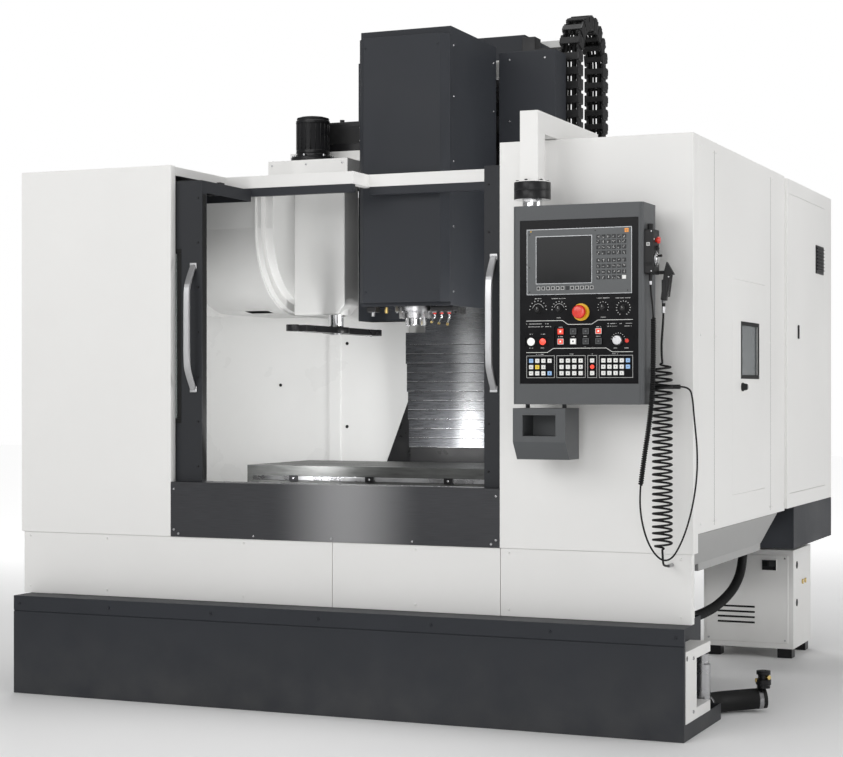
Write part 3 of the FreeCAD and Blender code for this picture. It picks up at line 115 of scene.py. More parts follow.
# ---------------------------------------------------------------- materials
SOIL_COLOR = (0.23, 0.22, 0.20)
SOIL_HEIGHT = 0.35


def principled(name):
    made = bpy.data.materials.new(name)
    made.use_nodes = True
    tree = made.node_tree
    return made, tree, tree.nodes["Principled BSDF"]


def noise_of(tree, coordinate, scale, detail, stretch=(1.0, 1.0, 1.0)):
    mapping = tree.nodes.new("ShaderNodeMapping")
    mapping.inputs["Scale"].default_value = stretch
    noise = tree.nodes.new("ShaderNodeTexNoise")
    noise.inputs["Scale"].default_value = scale
    noise.inputs["Detail"].default_value = detail
    tree.links.new(coordinate, mapping.inputs["Vector"])
    tree.links.new(mapping.outputs["Vector"], noise.inputs["Vector"])
    return noise.outputs["Fac"]


def remapped(tree, value, start, end, low, high, kind="LINEAR"):
    """A value's range start..end mapped onto low..high."""
    remap = tree.nodes.new("ShaderNodeMapRange")
    remap.interpolation_type = kind
    for entry, number in (("From Min", start), ("From Max", end), ("To Min", low), ("To Max", high)):
        remap.inputs[entry].default_value = number
    tree.links.new(value, remap.inputs["Value"])
    return remap.outputs["Result"]


def spread(tree, value, low, high):
    """A noise's middle range mapped onto low..high."""
    return remapped(tree, value, 0.3, 0.7, low, high)


def calculated(tree, operation, *terms):
    """Math node; each term is a number or a socket."""
    node = tree.nodes.new("ShaderNodeMath")
    node.operation = operation
    for entry, term in zip(node.inputs, terms):
        if isinstance(term, float):
            entry.default_value = term
        else:
            tree.links.new(term, entry)
    return node.outputs[0]


def mixed(tree, factor, first, second):
    """Colour between two; each is a colour or a socket."""
    mix = tree.nodes.new("ShaderNodeMix")
    mix.data_type = "RGBA"
    tree.links.new(factor, mix.inputs["Factor"])
    for entry, term in (("A", first), ("B", second)):
        if isinstance(term, tuple):
            mix.inputs[entry].default_value = (*term, 1.0)
        else:
            tree.links.new(term, mix.inputs[entry])
    return mix.outputs["Result"]


def surface(name, color, rough, metallic=0.0, vary=0.05, patch=2.5, grain=None, grain_scale=60.0,
            rough_vary=0.06, bump=0.15, bump_size=500.0, depth=0.0002, coat=0.0, soil=0.0):
    """Paint, metal, plastic or rubber: mottled colour and gloss, a fine relief, and soil near the floor.

    grain stretches a second noise into brush lines, as a scale for each axis.
    """
    made, tree, shader = principled(name)
    links = tree.links
    place = tree.nodes.new("ShaderNodeTexCoord").outputs["Object"]
    shader.inputs["Metallic"].default_value = metallic
    shader.inputs["Coat Weight"].default_value = coat
    shader.inputs["Coat Roughness"].default_value = 0.12
    dark = tuple(channel * (1.0 - vary) for channel in color)
    light = tuple(min(1.0, channel * (1.0 + vary)) for channel in color)
    mottle = noise_of(tree, place, patch, 5.0)
    if grain:
        lines = noise_of(tree, place, grain_scale, 3.0, grain)
        mottle = calculated(tree, "MULTIPLY_ADD", lines, 0.75, calculated(tree, "MULTIPLY", mottle, 0.25))
    tone = mixed(tree, spread(tree, mottle, 0.0, 1.0), dark, light)
    if soil:
        height = tree.nodes.new("ShaderNodeSeparateXYZ")
        links.new(place, height.inputs["Vector"])
        fade = remapped(tree, height.outputs["Z"], 0.0, SOIL_HEIGHT, soil, 0.0)
        patchy = calculated(tree, "MULTIPLY", fade, spread(tree, noise_of(tree, place, 7.0, 6.0), 0.2, 1.0))
        tone = mixed(tree, patchy, tone, SOIL_COLOR)
    links.new(tone, shader.inputs["Base Color"])
    links.new(spread(tree, mottle, rough - rough_vary, rough + rough_vary), shader.inputs["Roughness"])
    relief = tree.nodes.new("ShaderNodeBump")
    relief.inputs["Strength"].default_value = bump
    relief.inputs["Distance"].default_value = depth
    links.new(noise_of(tree, place, bump_size, 2.0, grain or (1.0, 1.0, 1.0)), relief.inputs["Height"])
    links.new(relief.outputs["Normal"], shader.inputs["Normal"])
    return made


def lamp(name, color, strength):
    """A lit button's lens."""
    made = surface(name, color, 0.25, coat=0.4)
    shader = made.node_tree.nodes["Principled BSDF"]
    shader.inputs["Emission Color"].default_value = (*color, 1.0)
    shader.inputs["Emission Strength"].default_value = strength
    return made


def pane(name, tint, rough=0.06):
    made, tree, shader = principled(name)
    place = tree.nodes.new("ShaderNodeTexCoord").outputs["Object"]
    shader.inputs["Base Color"].default_value = (*tint, 1.0)
    shader.inputs["Transmission Weight"].default_value = 0.75
    shader.inputs["IOR"].default_value = 1.45
    smear = spread(tree, noise_of(tree, place, 9.0, 4.0), rough * 0.5, rough * 1.6)
    tree.links.new(smear, shader.inputs["Roughness"])
    return made


WHITE = surface("white_powder_coat", (0.80, 0.795, 0.78), 0.42, vary=0.02, patch=1.3, bump=0.2,
                bump_size=420.0, depth=0.00025, soil=0.10)
LINER = surface("white_liner_paint", (0.78, 0.78, 0.77), 0.30, vary=0.025, patch=2.0, bump=0.12, soil=0.0)
# magazine cover and shroud: light grey paint, darkened further as painted shade where the roof shades the
# cover's face
DRUM_GREY_AND_SHADE = surface("drum_grey_and_painted_shade", (0.58, 0.58, 0.57), 0.45, vary=0.02, patch=1.8, bump=0.2)
GRAPHITE = surface("graphite_paint", (0.027, 0.0295, 0.035), 0.50, vary=0.07, patch=3.0, bump=0.45,
                   bump_size=380.0, depth=0.0004, soil=0.12)
SLATE = surface("slate_paint", (0.026, 0.0275, 0.031), 0.50, vary=0.06, patch=4.0, bump=0.4, bump_size=450.0)
PENDANT = surface("pendant_paint", (0.088, 0.092, 0.096), 0.48, vary=0.05, patch=6.0, bump=0.5,
                  bump_size=700.0, depth=0.00025)
BRUSHED = surface("brushed_dark_steel", (0.055, 0.056, 0.060), 0.36, metallic=0.8, vary=0.16,
                  grain=(0.03, 1, 1),
                  grain_scale=420.0, rough_vary=0.08, bump=0.3, bump_size=900.0, depth=0.00006)
BRIGHT = surface("brushed_bright_steel", (0.50, 0.50, 0.51), 0.36, metallic=1.0, vary=0.10,
                 grain=(1, 1, 0.04),
                 grain_scale=600.0, bump=0.25, bump_size=1100.0, depth=0.00004)
STEEL = surface("ground_steel", (0.45, 0.45, 0.46), 0.28, metallic=1.0, vary=0.10, patch=14.0, bump=0.2,
                bump_size=900.0, depth=0.00004)
CHROME = surface("polished_steel", (0.66, 0.66, 0.67), 0.16, metallic=1.0, vary=0.06, patch=20.0,
                 rough_vary=0.04, bump=0.08)
SLAT = surface("way_cover_steel", (0.062, 0.064, 0.069), 0.27, metallic=0.75, vary=0.14, patch=3.0,
               grain=(0.05, 1, 1), grain_scale=260.0, bump=0.2, bump_size=700.0, depth=0.00006)
TABLE = surface("ground_table_iron", (0.085, 0.087, 0.085), 0.40, metallic=0.55, vary=0.22, patch=9.0,
                grain=(0.12, 1, 1), grain_scale=90.0, rough_vary=0.12, bump=0.25, bump_size=600.0)
CASTING = surface("painted_casting", (0.50, 0.50, 0.49), 0.55, vary=0.06, patch=5.0, bump=0.8,
                  bump_size=120.0, depth=0.001, soil=0.3)
# hopper: grey darkened as painted shade for the sloped panel under the side panel; the soil near the floor is
# dirt
HOPPER_SHADE = surface("hopper_painted_shade", (0.36, 0.36, 0.355), 0.48, vary=0.05, patch=4.0, bump=0.3, soil=0.15)
BLACK = surface("black_enamel", (0.012, 0.012, 0.013), 0.32, vary=0.15, patch=15.0, bump=0.35,
                bump_size=600.0)
GLOSS_BLACK = surface("black_panel_film", (0.006, 0.006, 0.007), 0.22, vary=0.1, patch=20.0, rough_vary=0.03,
                      bump=0.05)
PLASTIC = surface("black_moulded_plastic", (0.014, 0.014, 0.0145), 0.48, vary=0.12, patch=30.0, bump=0.6,
                  bump_size=1400.0, depth=0.0001)
RUBBER = surface("black_rubber", (0.011, 0.011, 0.011), 0.56, vary=0.15, patch=40.0, bump=0.4,
                 bump_size=900.0)
BEZEL = surface("screen_bezel_paint", (0.105, 0.11, 0.113), 0.42, vary=0.05, patch=12.0, bump=0.4,
                bump_size=1200.0)
# thin raised rims coloured light as a painted highlight along the bezel and display edges
BEZEL_RIM_HIGHLIGHT = surface("screen_rim_painted_highlight", (0.42, 0.43, 0.44), 0.3, metallic=0.6, vary=0.06, patch=20.0)
SCREEN = surface("screen_glass", (0.014, 0.0145, 0.0155), 0.16, vary=0.04, patch=6.0, rough_vary=0.03,
                 bump=0.02)
KEY_WHITE = surface("white_key_caps", (0.80, 0.80, 0.78), 0.38, vary=0.04, patch=60.0, bump=0.2,
                    bump_size=1500.0)
KEY_GREY = surface("dark_key_caps", (0.035, 0.036, 0.038), 0.40, vary=0.1, patch=60.0, bump=0.2,
                   bump_size=1500.0)
KEY_BLUE = surface("blue_key_caps", (0.30, 0.50, 0.80), 0.38, vary=0.05, patch=60.0)
KEY_YELLOW = surface("yellow_key_caps", (0.85, 0.62, 0.05), 0.38, vary=0.05, patch=60.0)
PRINT = surface("panel_print", (0.55, 0.55, 0.54), 0.45, vary=0.05, patch=80.0)
RED = surface("red_plastic", (0.70, 0.03, 0.015), 0.26, vary=0.05, patch=40.0, coat=0.3)
YELLOW = surface("yellow_plastic", (0.86, 0.50, 0.02), 0.35, vary=0.05, patch=40.0)
ORANGE = surface("orange_plastic", (0.85, 0.30, 0.03), 0.35, vary=0.05, patch=40.0)
LENS_RED = lamp("red_lens", (0.9, 0.06, 0.03), 0.5)
LENS_WHITE = lamp("white_lens", (0.85, 0.85, 0.82), 0.2)
BRASS = surface("brass", (0.70, 0.52, 0.20), 0.28, metallic=1.0, vary=0.08, patch=40.0)
WINDOW = pane("tinted_window", (0.35, 0.38, 0.38))
SIDE_WINDOW = pane("side_window", (0.30, 0.32, 0.33))
# dark for the seams between panels, and painted shade inside holes, slots and screw sockets
DARK_SEAMS_AND_HOLE_SHADE = surface("dark_seams_and_painted_hole_shade", (0.004, 0.004, 0.004), 0.8, vary=0.2, patch=10.0)
FLOOR = surface("pale_floor", (0.86, 0.86, 0.86), 0.75, vary=0.01, patch=0.6, bump=0.05)


def glow_far(material, near, far, strength):
    """The studio floor brightens away from the machine, so it meets the white backdrop."""
    tree = material.node_tree
    length = tree.nodes.new("ShaderNodeVectorMath")
    length.operation = "LENGTH"
    tree.links.new(tree.nodes.new("ShaderNodeTexCoord").outputs["Object"], length.inputs[0])
    shader = tree.nodes["Principled BSDF"]
    shader.inputs["Emission Color"].default_value = (1.0, 1.0, 1.0, 1.0)
    glow = remapped(tree, length.outputs["Value"], near, far, 0.0, strength, "SMOOTHSTEP")
    tree.links.new(glow, shader.inputs["Emission Strength"])


def painted_highlight_band(material, middle, reach, color):
    """Painted highlight: a lighter upright band in the base colour of a wide steel sheet, standing in for a
    reflection, fading out at reach on each side of its middle.
    """
    tree = material.node_tree
    shader = tree.nodes["Principled BSDF"]
    split = tree.nodes.new("ShaderNodeSeparateXYZ")
    tree.links.new(tree.nodes.new("ShaderNodeTexCoord").outputs["Object"], split.inputs["Vector"])
    away = calculated(tree, "ABSOLUTE", calculated(tree, "SUBTRACT", split.outputs["X"], middle))
    band = remapped(tree, away, 0.0, reach, 0.8, 0.0, "SMOOTHSTEP")
    plain = shader.inputs["Base Color"].links[0].from_socket
    tree.links.new(mixed(tree, band, plain, color), shader.inputs["Base Color"])


glow_far(FLOOR, 3.0, 11.0, 0.72)
# painted highlight: a light band in the apron's colour where the lamps' reflection falls
painted_highlight_band(BRUSHED, 0.06, 0.34, (0.34, 0.34, 0.345))
# painted highlight: a narrow light band in the way-cover slats' colour where a reflection falls
painted_highlight_band(SLAT, 0.05, 0.10, (0.28, 0.285, 0.29))
for material, level in ((GRAPHITE, 0.22), (SLATE, 0.22), (PENDANT, 0.3), (BLACK, 0.25), (GLOSS_BLACK, 0.12),
                        (PLASTIC, 0.25),
                        (RUBBER, 0.2), (BEZEL, 0.3), (SCREEN, 0.2), (KEY_GREY, 0.25), (WHITE, 0.3),
                        (LINER, 0.35)):
    material.node_tree.nodes["Principled BSDF"].inputs["Specular IOR Level"].default_value = level


# ---------------------------------------------------------------- mesh tools
def basis(axis):
    """Rotation that takes +Z to axis."""
    return Vector((0, 0, 1)).rotation_difference(Vector(axis).normalized()).to_matrix().to_4x4()


class Piece:
    """A mesh gathered from bevelled shapes, each with its own material."""

    def __init__(self, name):
        self.name = name
        self.mesh = bmesh.new()
        self.materials = []

    def add(self, shape, material, smooth=False):
        if material not in self.materials:
            self.materials.append(material)
        index = self.materials.index(material)
        for face in shape.faces:
            face.material_index = index
            face.smooth = smooth
        holder = bpy.data.meshes.new("holder")
        shape.to_mesh(holder)
        shape.free()
        self.mesh.from_mesh(holder)
        bpy.data.meshes.remove(holder)
        return self

    def box(self, low, high, material, bevel=0.001, segments=2):
        shape = bmesh.new()
        size = Vector(high) - Vector(low)
        middle = (Vector(high) + Vector(low)) / 2
        bmesh.ops.create_cube(shape, size=1.0,
                              matrix=Matrix.Translation(middle) @ Matrix.Diagonal((*size, 1.0)))
        bevel = min(bevel, 0.45 * min(size))
        if bevel > 0:
            bmesh.ops.bevel(shape, geom=shape.edges[:], offset=bevel, segments=segments, affect="EDGES",
                            profile=0.5)
        return self.add(shape, material)

    def turned(self, at, axis, profile, material, sides=40):
        """Revolve (radius, height) points round an axis; ends at radius 0 close the shape."""
        shape = bmesh.new()
        turn = Matrix.Translation(Vector(at)) @ basis(axis)
        rings = []
        for radius, height in profile:
            if radius < 1e-6:
                rings.append([shape.verts.new(turn @ Vector((0, 0, height)))])
                continue
            rings.append([shape.verts.new(turn @ Vector((radius * math.cos(2 * math.pi * k / sides),
                                                         radius * math.sin(2 * math.pi * k / sides), height)))
                          for k in range(sides)])
        for lower, upper in zip(rings, rings[1:]):
            for k in range(sides):
                after = (k + 1) % sides
                corners = [lower[k % len(lower)], lower[after % len(lower)],
                           upper[after % len(upper)], upper[k % len(upper)]]
                corners = list(dict.fromkeys(corners))
                if len(corners) > 2:
                    shape.faces.new(corners)
        bmesh.ops.recalc_face_normals(shape, faces=shape.faces[:])
        sharp = [edge for edge in shape.edges if len(edge.link_faces) == 2 and edge.calc_face_angle(0) > 0.6]
        bmesh.ops.split_edges(shape, edges=sharp)
        return self.add(shape, material, True)

    def rod(self, start, end, radius, material, sides=32, bevel=0.0008):
        """Closed cylinder with chamfered rims."""
        axis = Vector(end) - Vector(start)
        length = axis.length
        rim = min(bevel, 0.4 * radius, 0.4 * length)
        profile = [(0, 0), (radius - rim, 0), (radius, rim), (radius, length - rim), (radius - rim, length),
                   (0, length)]
        return self.turned(start, axis, profile, material, sides)

    def prism(self, outline, plane, low, high, material, bevel=0.001):
        """Outline of two coordinates on a plane ('xy', 'xz' or 'yz'), stretched along the third axis."""
        shape = bmesh.new()

        def corner(a, b, c):
            return {"xy": (a, b, c), "xz": (a, c, b), "yz": (c, a, b)}[plane]

        first = [shape.verts.new(corner(a, b, low)) for a, b in outline]
        second = [shape.verts.new(corner(a, b, high)) for a, b in outline]
        count = len(outline)
        shape.faces.new(first)
        shape.faces.new(second[::-1])
        for k in range(count):
            shape.faces.new((first[k], first[(k + 1) % count], second[(k + 1) % count], second[k]))
        bmesh.ops.recalc_face_normals(shape, faces=shape.faces[:])
        if bevel > 0:
            bmesh.ops.bevel(shape, geom=shape.edges[:], offset=bevel, segments=2, affect="EDGES", profile=0.5)
        return self.add(shape, material)

    def tube(self, points, radius, material, sides=10):
        """Round tube swept through points, with closed ends."""
        shape = bmesh.new()
        points = [Vector(point) for point in points]
        normal = None
        rings = []
        for k, point in enumerate(points):
            ahead = points[min(k + 1, len(points) - 1)] - points[max(k - 1, 0)]
            ahead.normalize()
            if normal is None:
                normal = ahead.orthogonal().normalized()
            normal = (normal - ahead * normal.dot(ahead)).normalized()
            side = ahead.cross(normal)
            width = radius(k) if callable(radius) else radius
            rings.append([shape.verts.new(point + width * (math.cos(2 * math.pi * n / sides) * normal
                                                           + math.sin(2 * math.pi * n / sides) * side))
                          for n in range(sides)])
        for lower, upper in zip(rings, rings[1:]):
            for n in range(sides):
                after = (n + 1) % sides
                shape.faces.new((lower[n], lower[after], upper[after], upper[n]))
        shape.faces.new(rings[0][::-1])
        shape.faces.new(rings[-1])
        return self.add(shape, material, True)

    def screw(self, at, axis, radius=0.006, material=None):
        """Button-head socket screw."""
        height, socket = radius * 0.62, radius * 0.42
        profile = [(0, height * 0.45), (socket, height * 0.45), (socket, height),
                   (radius * 0.72, height * 0.94),
                   (radius * 0.95, height * 0.5), (radius, 0.0)]
        return self.turned(at, axis, profile, material or STEEL, 14)

    def linked(self):
        """The object with this mesh, in the scene."""
        data = bpy.data.meshes.new(self.name)
        self.mesh.to_mesh(data)
        self.mesh.free()
        for material in self.materials:
            data.materials.append(material)
        thing = bpy.data.objects.new(self.name, data)
        scene.collection.objects.link(thing)
        return thing

    def done(self, body, slot, replaces=()):
        """The finished piece, riding on a body and standing for the CAD nodes that it replaces."""
        thing = self.linked()
        if body:
            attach(thing, body)
        if replaces:
            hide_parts(*replaces)
        return thing


def spline_points(route, steps=24):
    """Points along the NURBS curve of a route."""
    curve = bpy.data.curves.new("route", "CURVE")
    curve.dimensions = "3D"
    spline = curve.splines.new("NURBS")
    spline.points.add(len(route) - 1)
    for point, at in zip(spline.points, route):
        point.co = (*at, 1.0)
    spline.order_u = 3
    spline.use_endpoint_u = True
    spline.resolution_u = steps
    holder = bpy.data.objects.new("route", curve)
    scene.collection.objects.link(holder)
    mesh = bpy.data.meshes.new_from_object(holder)
    points = [vertex.co.copy() for vertex in mesh.vertices]
    bpy.data.objects.remove(holder)
    bpy.data.meshes.remove(mesh)
    bpy.data.curves.remove(curve)
    return points


def along(points, step):
    """Even points along a line of points, about step apart."""
    lengths = [0.0]
    for a, b in zip(points, points[1:]):
        lengths.append(lengths[-1] + (b - a).length)
    count = max(2, round(lengths[-1] / step))
    out = []
    k = 0
    for n in range(count + 1):
        goal = lengths[-1] * n / count
        while k < len(points) - 2 and lengths[k + 1] < goal:
            k += 1
        span = max(lengths[k + 1] - lengths[k], 1e-9)
        out.append(points[k].lerp(points[k + 1], (goal - lengths[k]) / span))
    return out


def coil_points(points, radius, pitch, per_turn=16, ease=1.0):
    """Helix round a line of points; its radius grows from and returns to nothing over ease turns."""
    line = along(points, pitch / per_turn)
    total = len(line) - 1
    normal = None
    out = []
    for k, point in enumerate(line):
        ahead = (line[min(k + 1, total)] - line[max(k - 1, 0)]).normalized()
        if normal is None:
            normal = ahead.orthogonal().normalized()
        normal = (normal - ahead * normal.dot(ahead)).normalized()
        side = ahead.cross(normal)
        turns = k / per_turn
        left = (total - k) / per_turn
        wide = radius * min(1.0, turns / ease, left / ease)
        angle = 2 * math.pi * turns
        out.append(point + wide * (math.cos(angle) * normal + math.sin(angle) * side))
    return out


def round_about(count, radius, first=0.0):
    """Points evenly round a circle, the first at an angle in degrees."""
    angles = [math.radians(first + 360 * number / count) for number in range(count)]
    return [(radius * math.cos(angle), radius * math.sin(angle)) for angle in angles]


def edge_bars(a0, a1, b0, b1, outside, inside):
    """Four bars on a rectangle's edges, each as (low a, high a, low b, high b)."""
    return ((a0 - outside, a1 + outside, b0 - outside, b0 + inside),
            (a0 - outside, a1 + outside, b1 - inside, b1 + outside),
            (a0 - outside, a0 + inside, b0 + inside, b1 - inside),
            (a1 - inside, a1 + outside, b0 + inside, b1 - inside))


# ---------------------------------------------------------------- CAD nodes: finish and softened edges
FINISHES = {
    "coolant_tank": (GRAPHITE, 0.003), "bed_casting": (CASTING, 0.008), "levelling_feet": (BLACK, 0.002),
    "column_casting": (CASTING, 0.008), "column_covers": (GRAPHITE, 0.002), "front_panels": (WHITE, 0.0025),
    "apron_and_rails": (BRUSHED, 0.0015), "side_panels": (WHITE, 0.002), "door_beam": (WHITE, 0.002),
    "inner_panels": (LINER, 0.001), "chip_hopper": (HOPPER_SHADE, 0.001), "rear_cabinets": (WHITE, 0.002),
    "rear_unit": (WHITE, 0.002), "magazine_cover": (DRUM_GREY_AND_SHADE, 0.0015), "changer_gearbox": (WHITE, 0.004),
    "servo_motors": (BLACK, 0.004), "axis_guides": (STEEL, 0.001), "pendant_arm": (WHITE, 0.004),
    "left_door": (SLATE, 0.0015), "right_door": (SLATE, 0.0015), "left_handle": (BRIGHT, 0.003),
    "right_handle": (BRIGHT, 0.003), "service_door": (WHITE, 0.0015), "service_knob": (PLASTIC, 0.0),
    "cabinet_door": (WHITE, 0.0015), "cabinet_latch": (PLASTIC, 0.001), "saddle": (CASTING, 0.004),
    "table": (TABLE, 0.0012), "head_casting": (CASTING, 0.006), "head_front_cover": (GRAPHITE, 0.002),
    "head_rear_cover": (GRAPHITE, 0.002), "spindle_cartridge": (STEEL, 0.0), "spindle_nose": (CHROME, 0.0),
    "spindle_motor": (BLACK, 0.004), "way_cover_4": (SLAT, 0.0), "way_cover_3": (SLAT, 0.0),
    "way_cover_2": (SLAT, 0.0), "way_cover_1": (SLAT, 0.0), "magazine_disc": (STEEL, 0.001),
    "changer_shaft": (CHROME, 0.001), "exchange_arm": (BLACK, 0.002), "pendant_housing": (PENDANT, 0.0015),
    "pendant_panel": (GLOSS_BLACK, 0.0005), "handset": (PLASTIC, 0.0015), "air_gun": (PLASTIC, 0.002),
    "air_gun_trigger": (PLASTIC, 0.0008),
}
BEVEL_LIMIT = math.radians(38)
for name, (material, width) in FINISHES.items():
    thing = nodes[name]
    thing.data.materials.clear()
    thing.data.materials.append(material)
    weld = thing.modifiers.new("weld", "WELD")
    weld.merge_threshold = 0.00002
    if width:
        clean = thing.modifiers.new("clean", "DECIMATE")
        clean.decimate_type = "DISSOLVE"
        clean.angle_limit = math.radians(0.5)
        soft = thing.modifiers.new("soft", "BEVEL")
        soft.width = width
        soft.segments = 2
        soft.limit_method = "ANGLE"
        soft.angle_limit = BEVEL_LIMIT

# ---------------------------------------------------------------- hose and cable routes, as in the solids
HOSE_DROP = [(1.409, -0.165, 1.572), (1.407, -0.165, 1.524), (1.403, -0.165, 1.472), (1.400, -0.165, 1.420),
             (1.404, -0.165, 1.372)]
HOSE_TAIL = [(1.404, -0.165, 0.700), (1.405, -0.162, 0.664), (1.398, -0.130, 0.642), (1.393, -0.082, 0.634),
             (1.392, -0.0408, 0.630)]
CABLE_DROP = [(1.376, -0.222, 1.665), (1.378, -0.222, 1.625), (1.384, -0.222, 1.580), (1.387, -0.222, 1.535)]
CABLE_COIL = [(1.387, -0.222, 1.535), (1.387, -0.222, 1.400), (1.385, -0.222, 1.280), (1.372, -0.222, 1.150),
              (1.352, -0.222, 1.030), (1.340, -0.222, 0.932)]
CABLE_LOOP = [(1.340, -0.222, 0.932), (1.337, -0.222, 0.890), (1.339, -0.222, 0.840), (1.348, -0.223, 0.788),
              (1.364, -0.225, 0.738), (1.388, -0.226, 0.694), (1.421, -0.225, 0.664), (1.454, -0.220, 0.672),
              (1.478, -0.212, 0.712), (1.497, -0.200, 0.762), (1.512, -0.188, 0.820), (1.522, -0.174, 0.880),
              (1.528, -0.161, 0.942), (1.529, -0.149, 1.005), (1.525, -0.138, 1.068), (1.517, -0.129, 1.128),
              (1.508, -0.120, 1.190), (1.503, -0.114, 1.238), (1.492, -0.112, 1.287), (1.456, -0.112, 1.287)]
CONDUIT = [(1.330, 1.380, 0.5996), (1.330, 1.365, 0.500), (1.330, 1.230, 0.430), (1.330, 1.050, 0.396),
           (1.330, 0.870, 0.378), (1.330, 0.700, 0.374), (1.330, 0.560, 0.375), (1.330, 0.4206, 0.375)]
DRAIN = [(1.405, 0.4205, 0.046), (1.405, 0.500, 0.046), (1.450, 0.570, 0.046), (1.515, 0.625, 0.048),
         (1.590, 0.665, 0.054)]
HOSE_RADIUS = 0.004
HOSE_COIL = 0.034
HOSE_PITCH = 0.0235
CABLE_RADIUS = 0.0033
CABLE_COIL_RADIUS = 0.0066
CABLE_PITCH = 0.0082

drop, tail = spline_points(HOSE_DROP), spline_points(HOSE_TAIL)
hose_path = (along(drop, 0.006)[:-1]
             + coil_points([drop[-1], tail[0]], HOSE_COIL, HOSE_PITCH, 20, 0.7)
             + along(tail, 0.006)[1:])
hose = Piece("air_hose_line").tube(hose_path, HOSE_RADIUS, RUBBER, 10).done(None, "cable")
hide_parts("air_hose", "air_hose_coil")
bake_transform(hose)

drop, middle, loop = spline_points(CABLE_DROP), spline_points(CABLE_COIL), spline_points(CABLE_LOOP)
cable_path = (along(drop, 0.006)[:-1]
              + coil_points(middle, CABLE_COIL_RADIUS, CABLE_PITCH, 12, 0.6)
              + along(loop, 0.008)[1:])
cable = Piece("handset_cable_line").tube(cable_path, CABLE_RADIUS, RUBBER, 8).done("pendant", "cable")
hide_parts("handset_cable", "handset_cable_coil")

# corrugated conduit and drain pipe under the machine
RIB_STEP = 0.005


def corrugated(piece, points, radius, material, ridge=0.0014):
    fine = along(points, RIB_STEP / 2)
    return piece.tube(fine, lambda k: radius - ridge * (k % 2), material, 20)


pipes = Piece("floor_pipe_lines")
corrugated(pipes, spline_points(CONDUIT), 0.0205, RUBBER)
drain = spline_points(DRAIN)
pipes.tube(along(drain, 0.012), 0.041, RUBBER, 28)
for share in (0.04, 0.93):
    spot = along(drain, 0.006)
    index = int(share * (len(spot) - 1))
    ahead = (spot[index + 1] - spot[index]).normalized()
    pipes.rod(spot[index] - 0.009 * ahead, spot[index] + 0.009 * ahead, 0.0419, STEEL, 32, 0.0012)
union = Vector((1.587, 0.645, 0.096))
pipes.turned(union, (0, 0, 1),
             [(0, 0), (0.026, 0), (0.026, 0.012), (0.030, 0.014), (0.030, 0.034), (0.022, 0.037),
              (0.022, 0.052), (0.028, 0.054), (0.028, 0.068), (0.018, 0.070), (0, 0.070)],
             BLACK)
for point, tip in (((0, 0, 0.045), (0.028, -0.02, 0.045)), ((0, 0, 0.03), (-0.03, -0.014, 0.03))):
    pipes.rod(union + Vector(point), union + Vector(tip), 0.009, BRASS, 14)
pipes.done("machine", "cable", ("floor_pipes",))

# ---------------------------------------------------------------- doors
WINDOW_MARGIN, WINDOW_LOW, WINDOW_HIGH = 0.110, 1.15, 1.85
for side, inward in (("left", 1), ("right", -1)):
    body = side + "_door"
    low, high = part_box(body)
    x0, x1 = low.x + WINDOW_MARGIN, high.x - WINDOW_MARGIN
    glass = Piece(side + "_door_window")
    glass.box((x0 + 0.001, 0.058, WINDOW_LOW + 0.001), (x1 - 0.001, 0.066, WINDOW_HIGH - 0.001), WINDOW,
              0.001)
    glass.done(body, "slate")
    trim = Piece(side + "_door_trim")
    for a, b, c, d in edge_bars(x0, x1, WINDOW_LOW, WINDOW_HIGH, 0.012, 0.008):
        trim.box((a, 0.0425, c), (b, 0.0485, d), RUBBER, 0.002)
    edge = high.x if inward > 0 else low.x
    lip = sorted((edge, edge + inward * 0.0008))
    trim.box((lip[0], 0.050, 0.905), (lip[1], 0.080, 2.085), RUBBER, 0.0004)
    for step in range(7):
        trim.screw((edge - inward * 0.018, 0.0452, 0.96 + step * 0.185), (0, -1, 0), 0.0045, BLACK)
    trim.done(body, "slate")
    low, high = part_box(side + "_handle")
    middle = (low.x + high.x) / 2
    feet = Piece(side + "_handle_feet")
    for z in (low.z + 0.011, high.z - 0.011):
        feet.box((middle - 0.016, 0.0395, z - 0.013), (middle + 0.016, 0.0452, z + 0.013), BRIGHT, 0.0025)
    feet.done(body, "bright")

# ---------------------------------------------------------------- enclosure details
skin = Piece("enclosure_screws")
for x in (-0.70, -0.35, 0.0, 0.35, 0.68):
    skin.screw((x, -0.0003, 0.684), (0, -1, 0), 0.0055)
for z in (0.70, 0.868):
    for x in (-0.722, 0.70):
        skin.screw((x, -0.0003, z), (0, -1, 0), 0.0055)
for x in (-1.435, -1.05, -0.40, 0.36, 0.75, 1.425):
    for z in (0.437, 0.652):
        skin.screw((x, 0.0077, z), (0, -1, 0), 0.005, WHITE)
skin.done("machine", "white")

track = Piece("door_track_rail")
track.box((-1.462, 0.058, 0.8969), (1.462, 0.062, 0.8992), STEEL, 0.0004)
track.done("machine", "machined")

seams = Piece("side_seams")
for side in (1, -1):
    x = side * 1.4742
    for y in (0.310, 1.275):
        seams.box((min(x, x - side * 0.0006), y - 0.0012, 0.76),
                  (max(x, x - side * 0.0006), y + 0.0012, 2.19), DARK_SEAMS_AND_HOLE_SHADE, 0)
    for y in (0.10, 0.29, 0.33, 1.255, 1.295, 1.53):
        for z in (0.775, 1.48, 2.18):
            seams.screw((x, y, z), (side, 0, 0), 0.0045, WHITE)
seams.done("machine", "white")

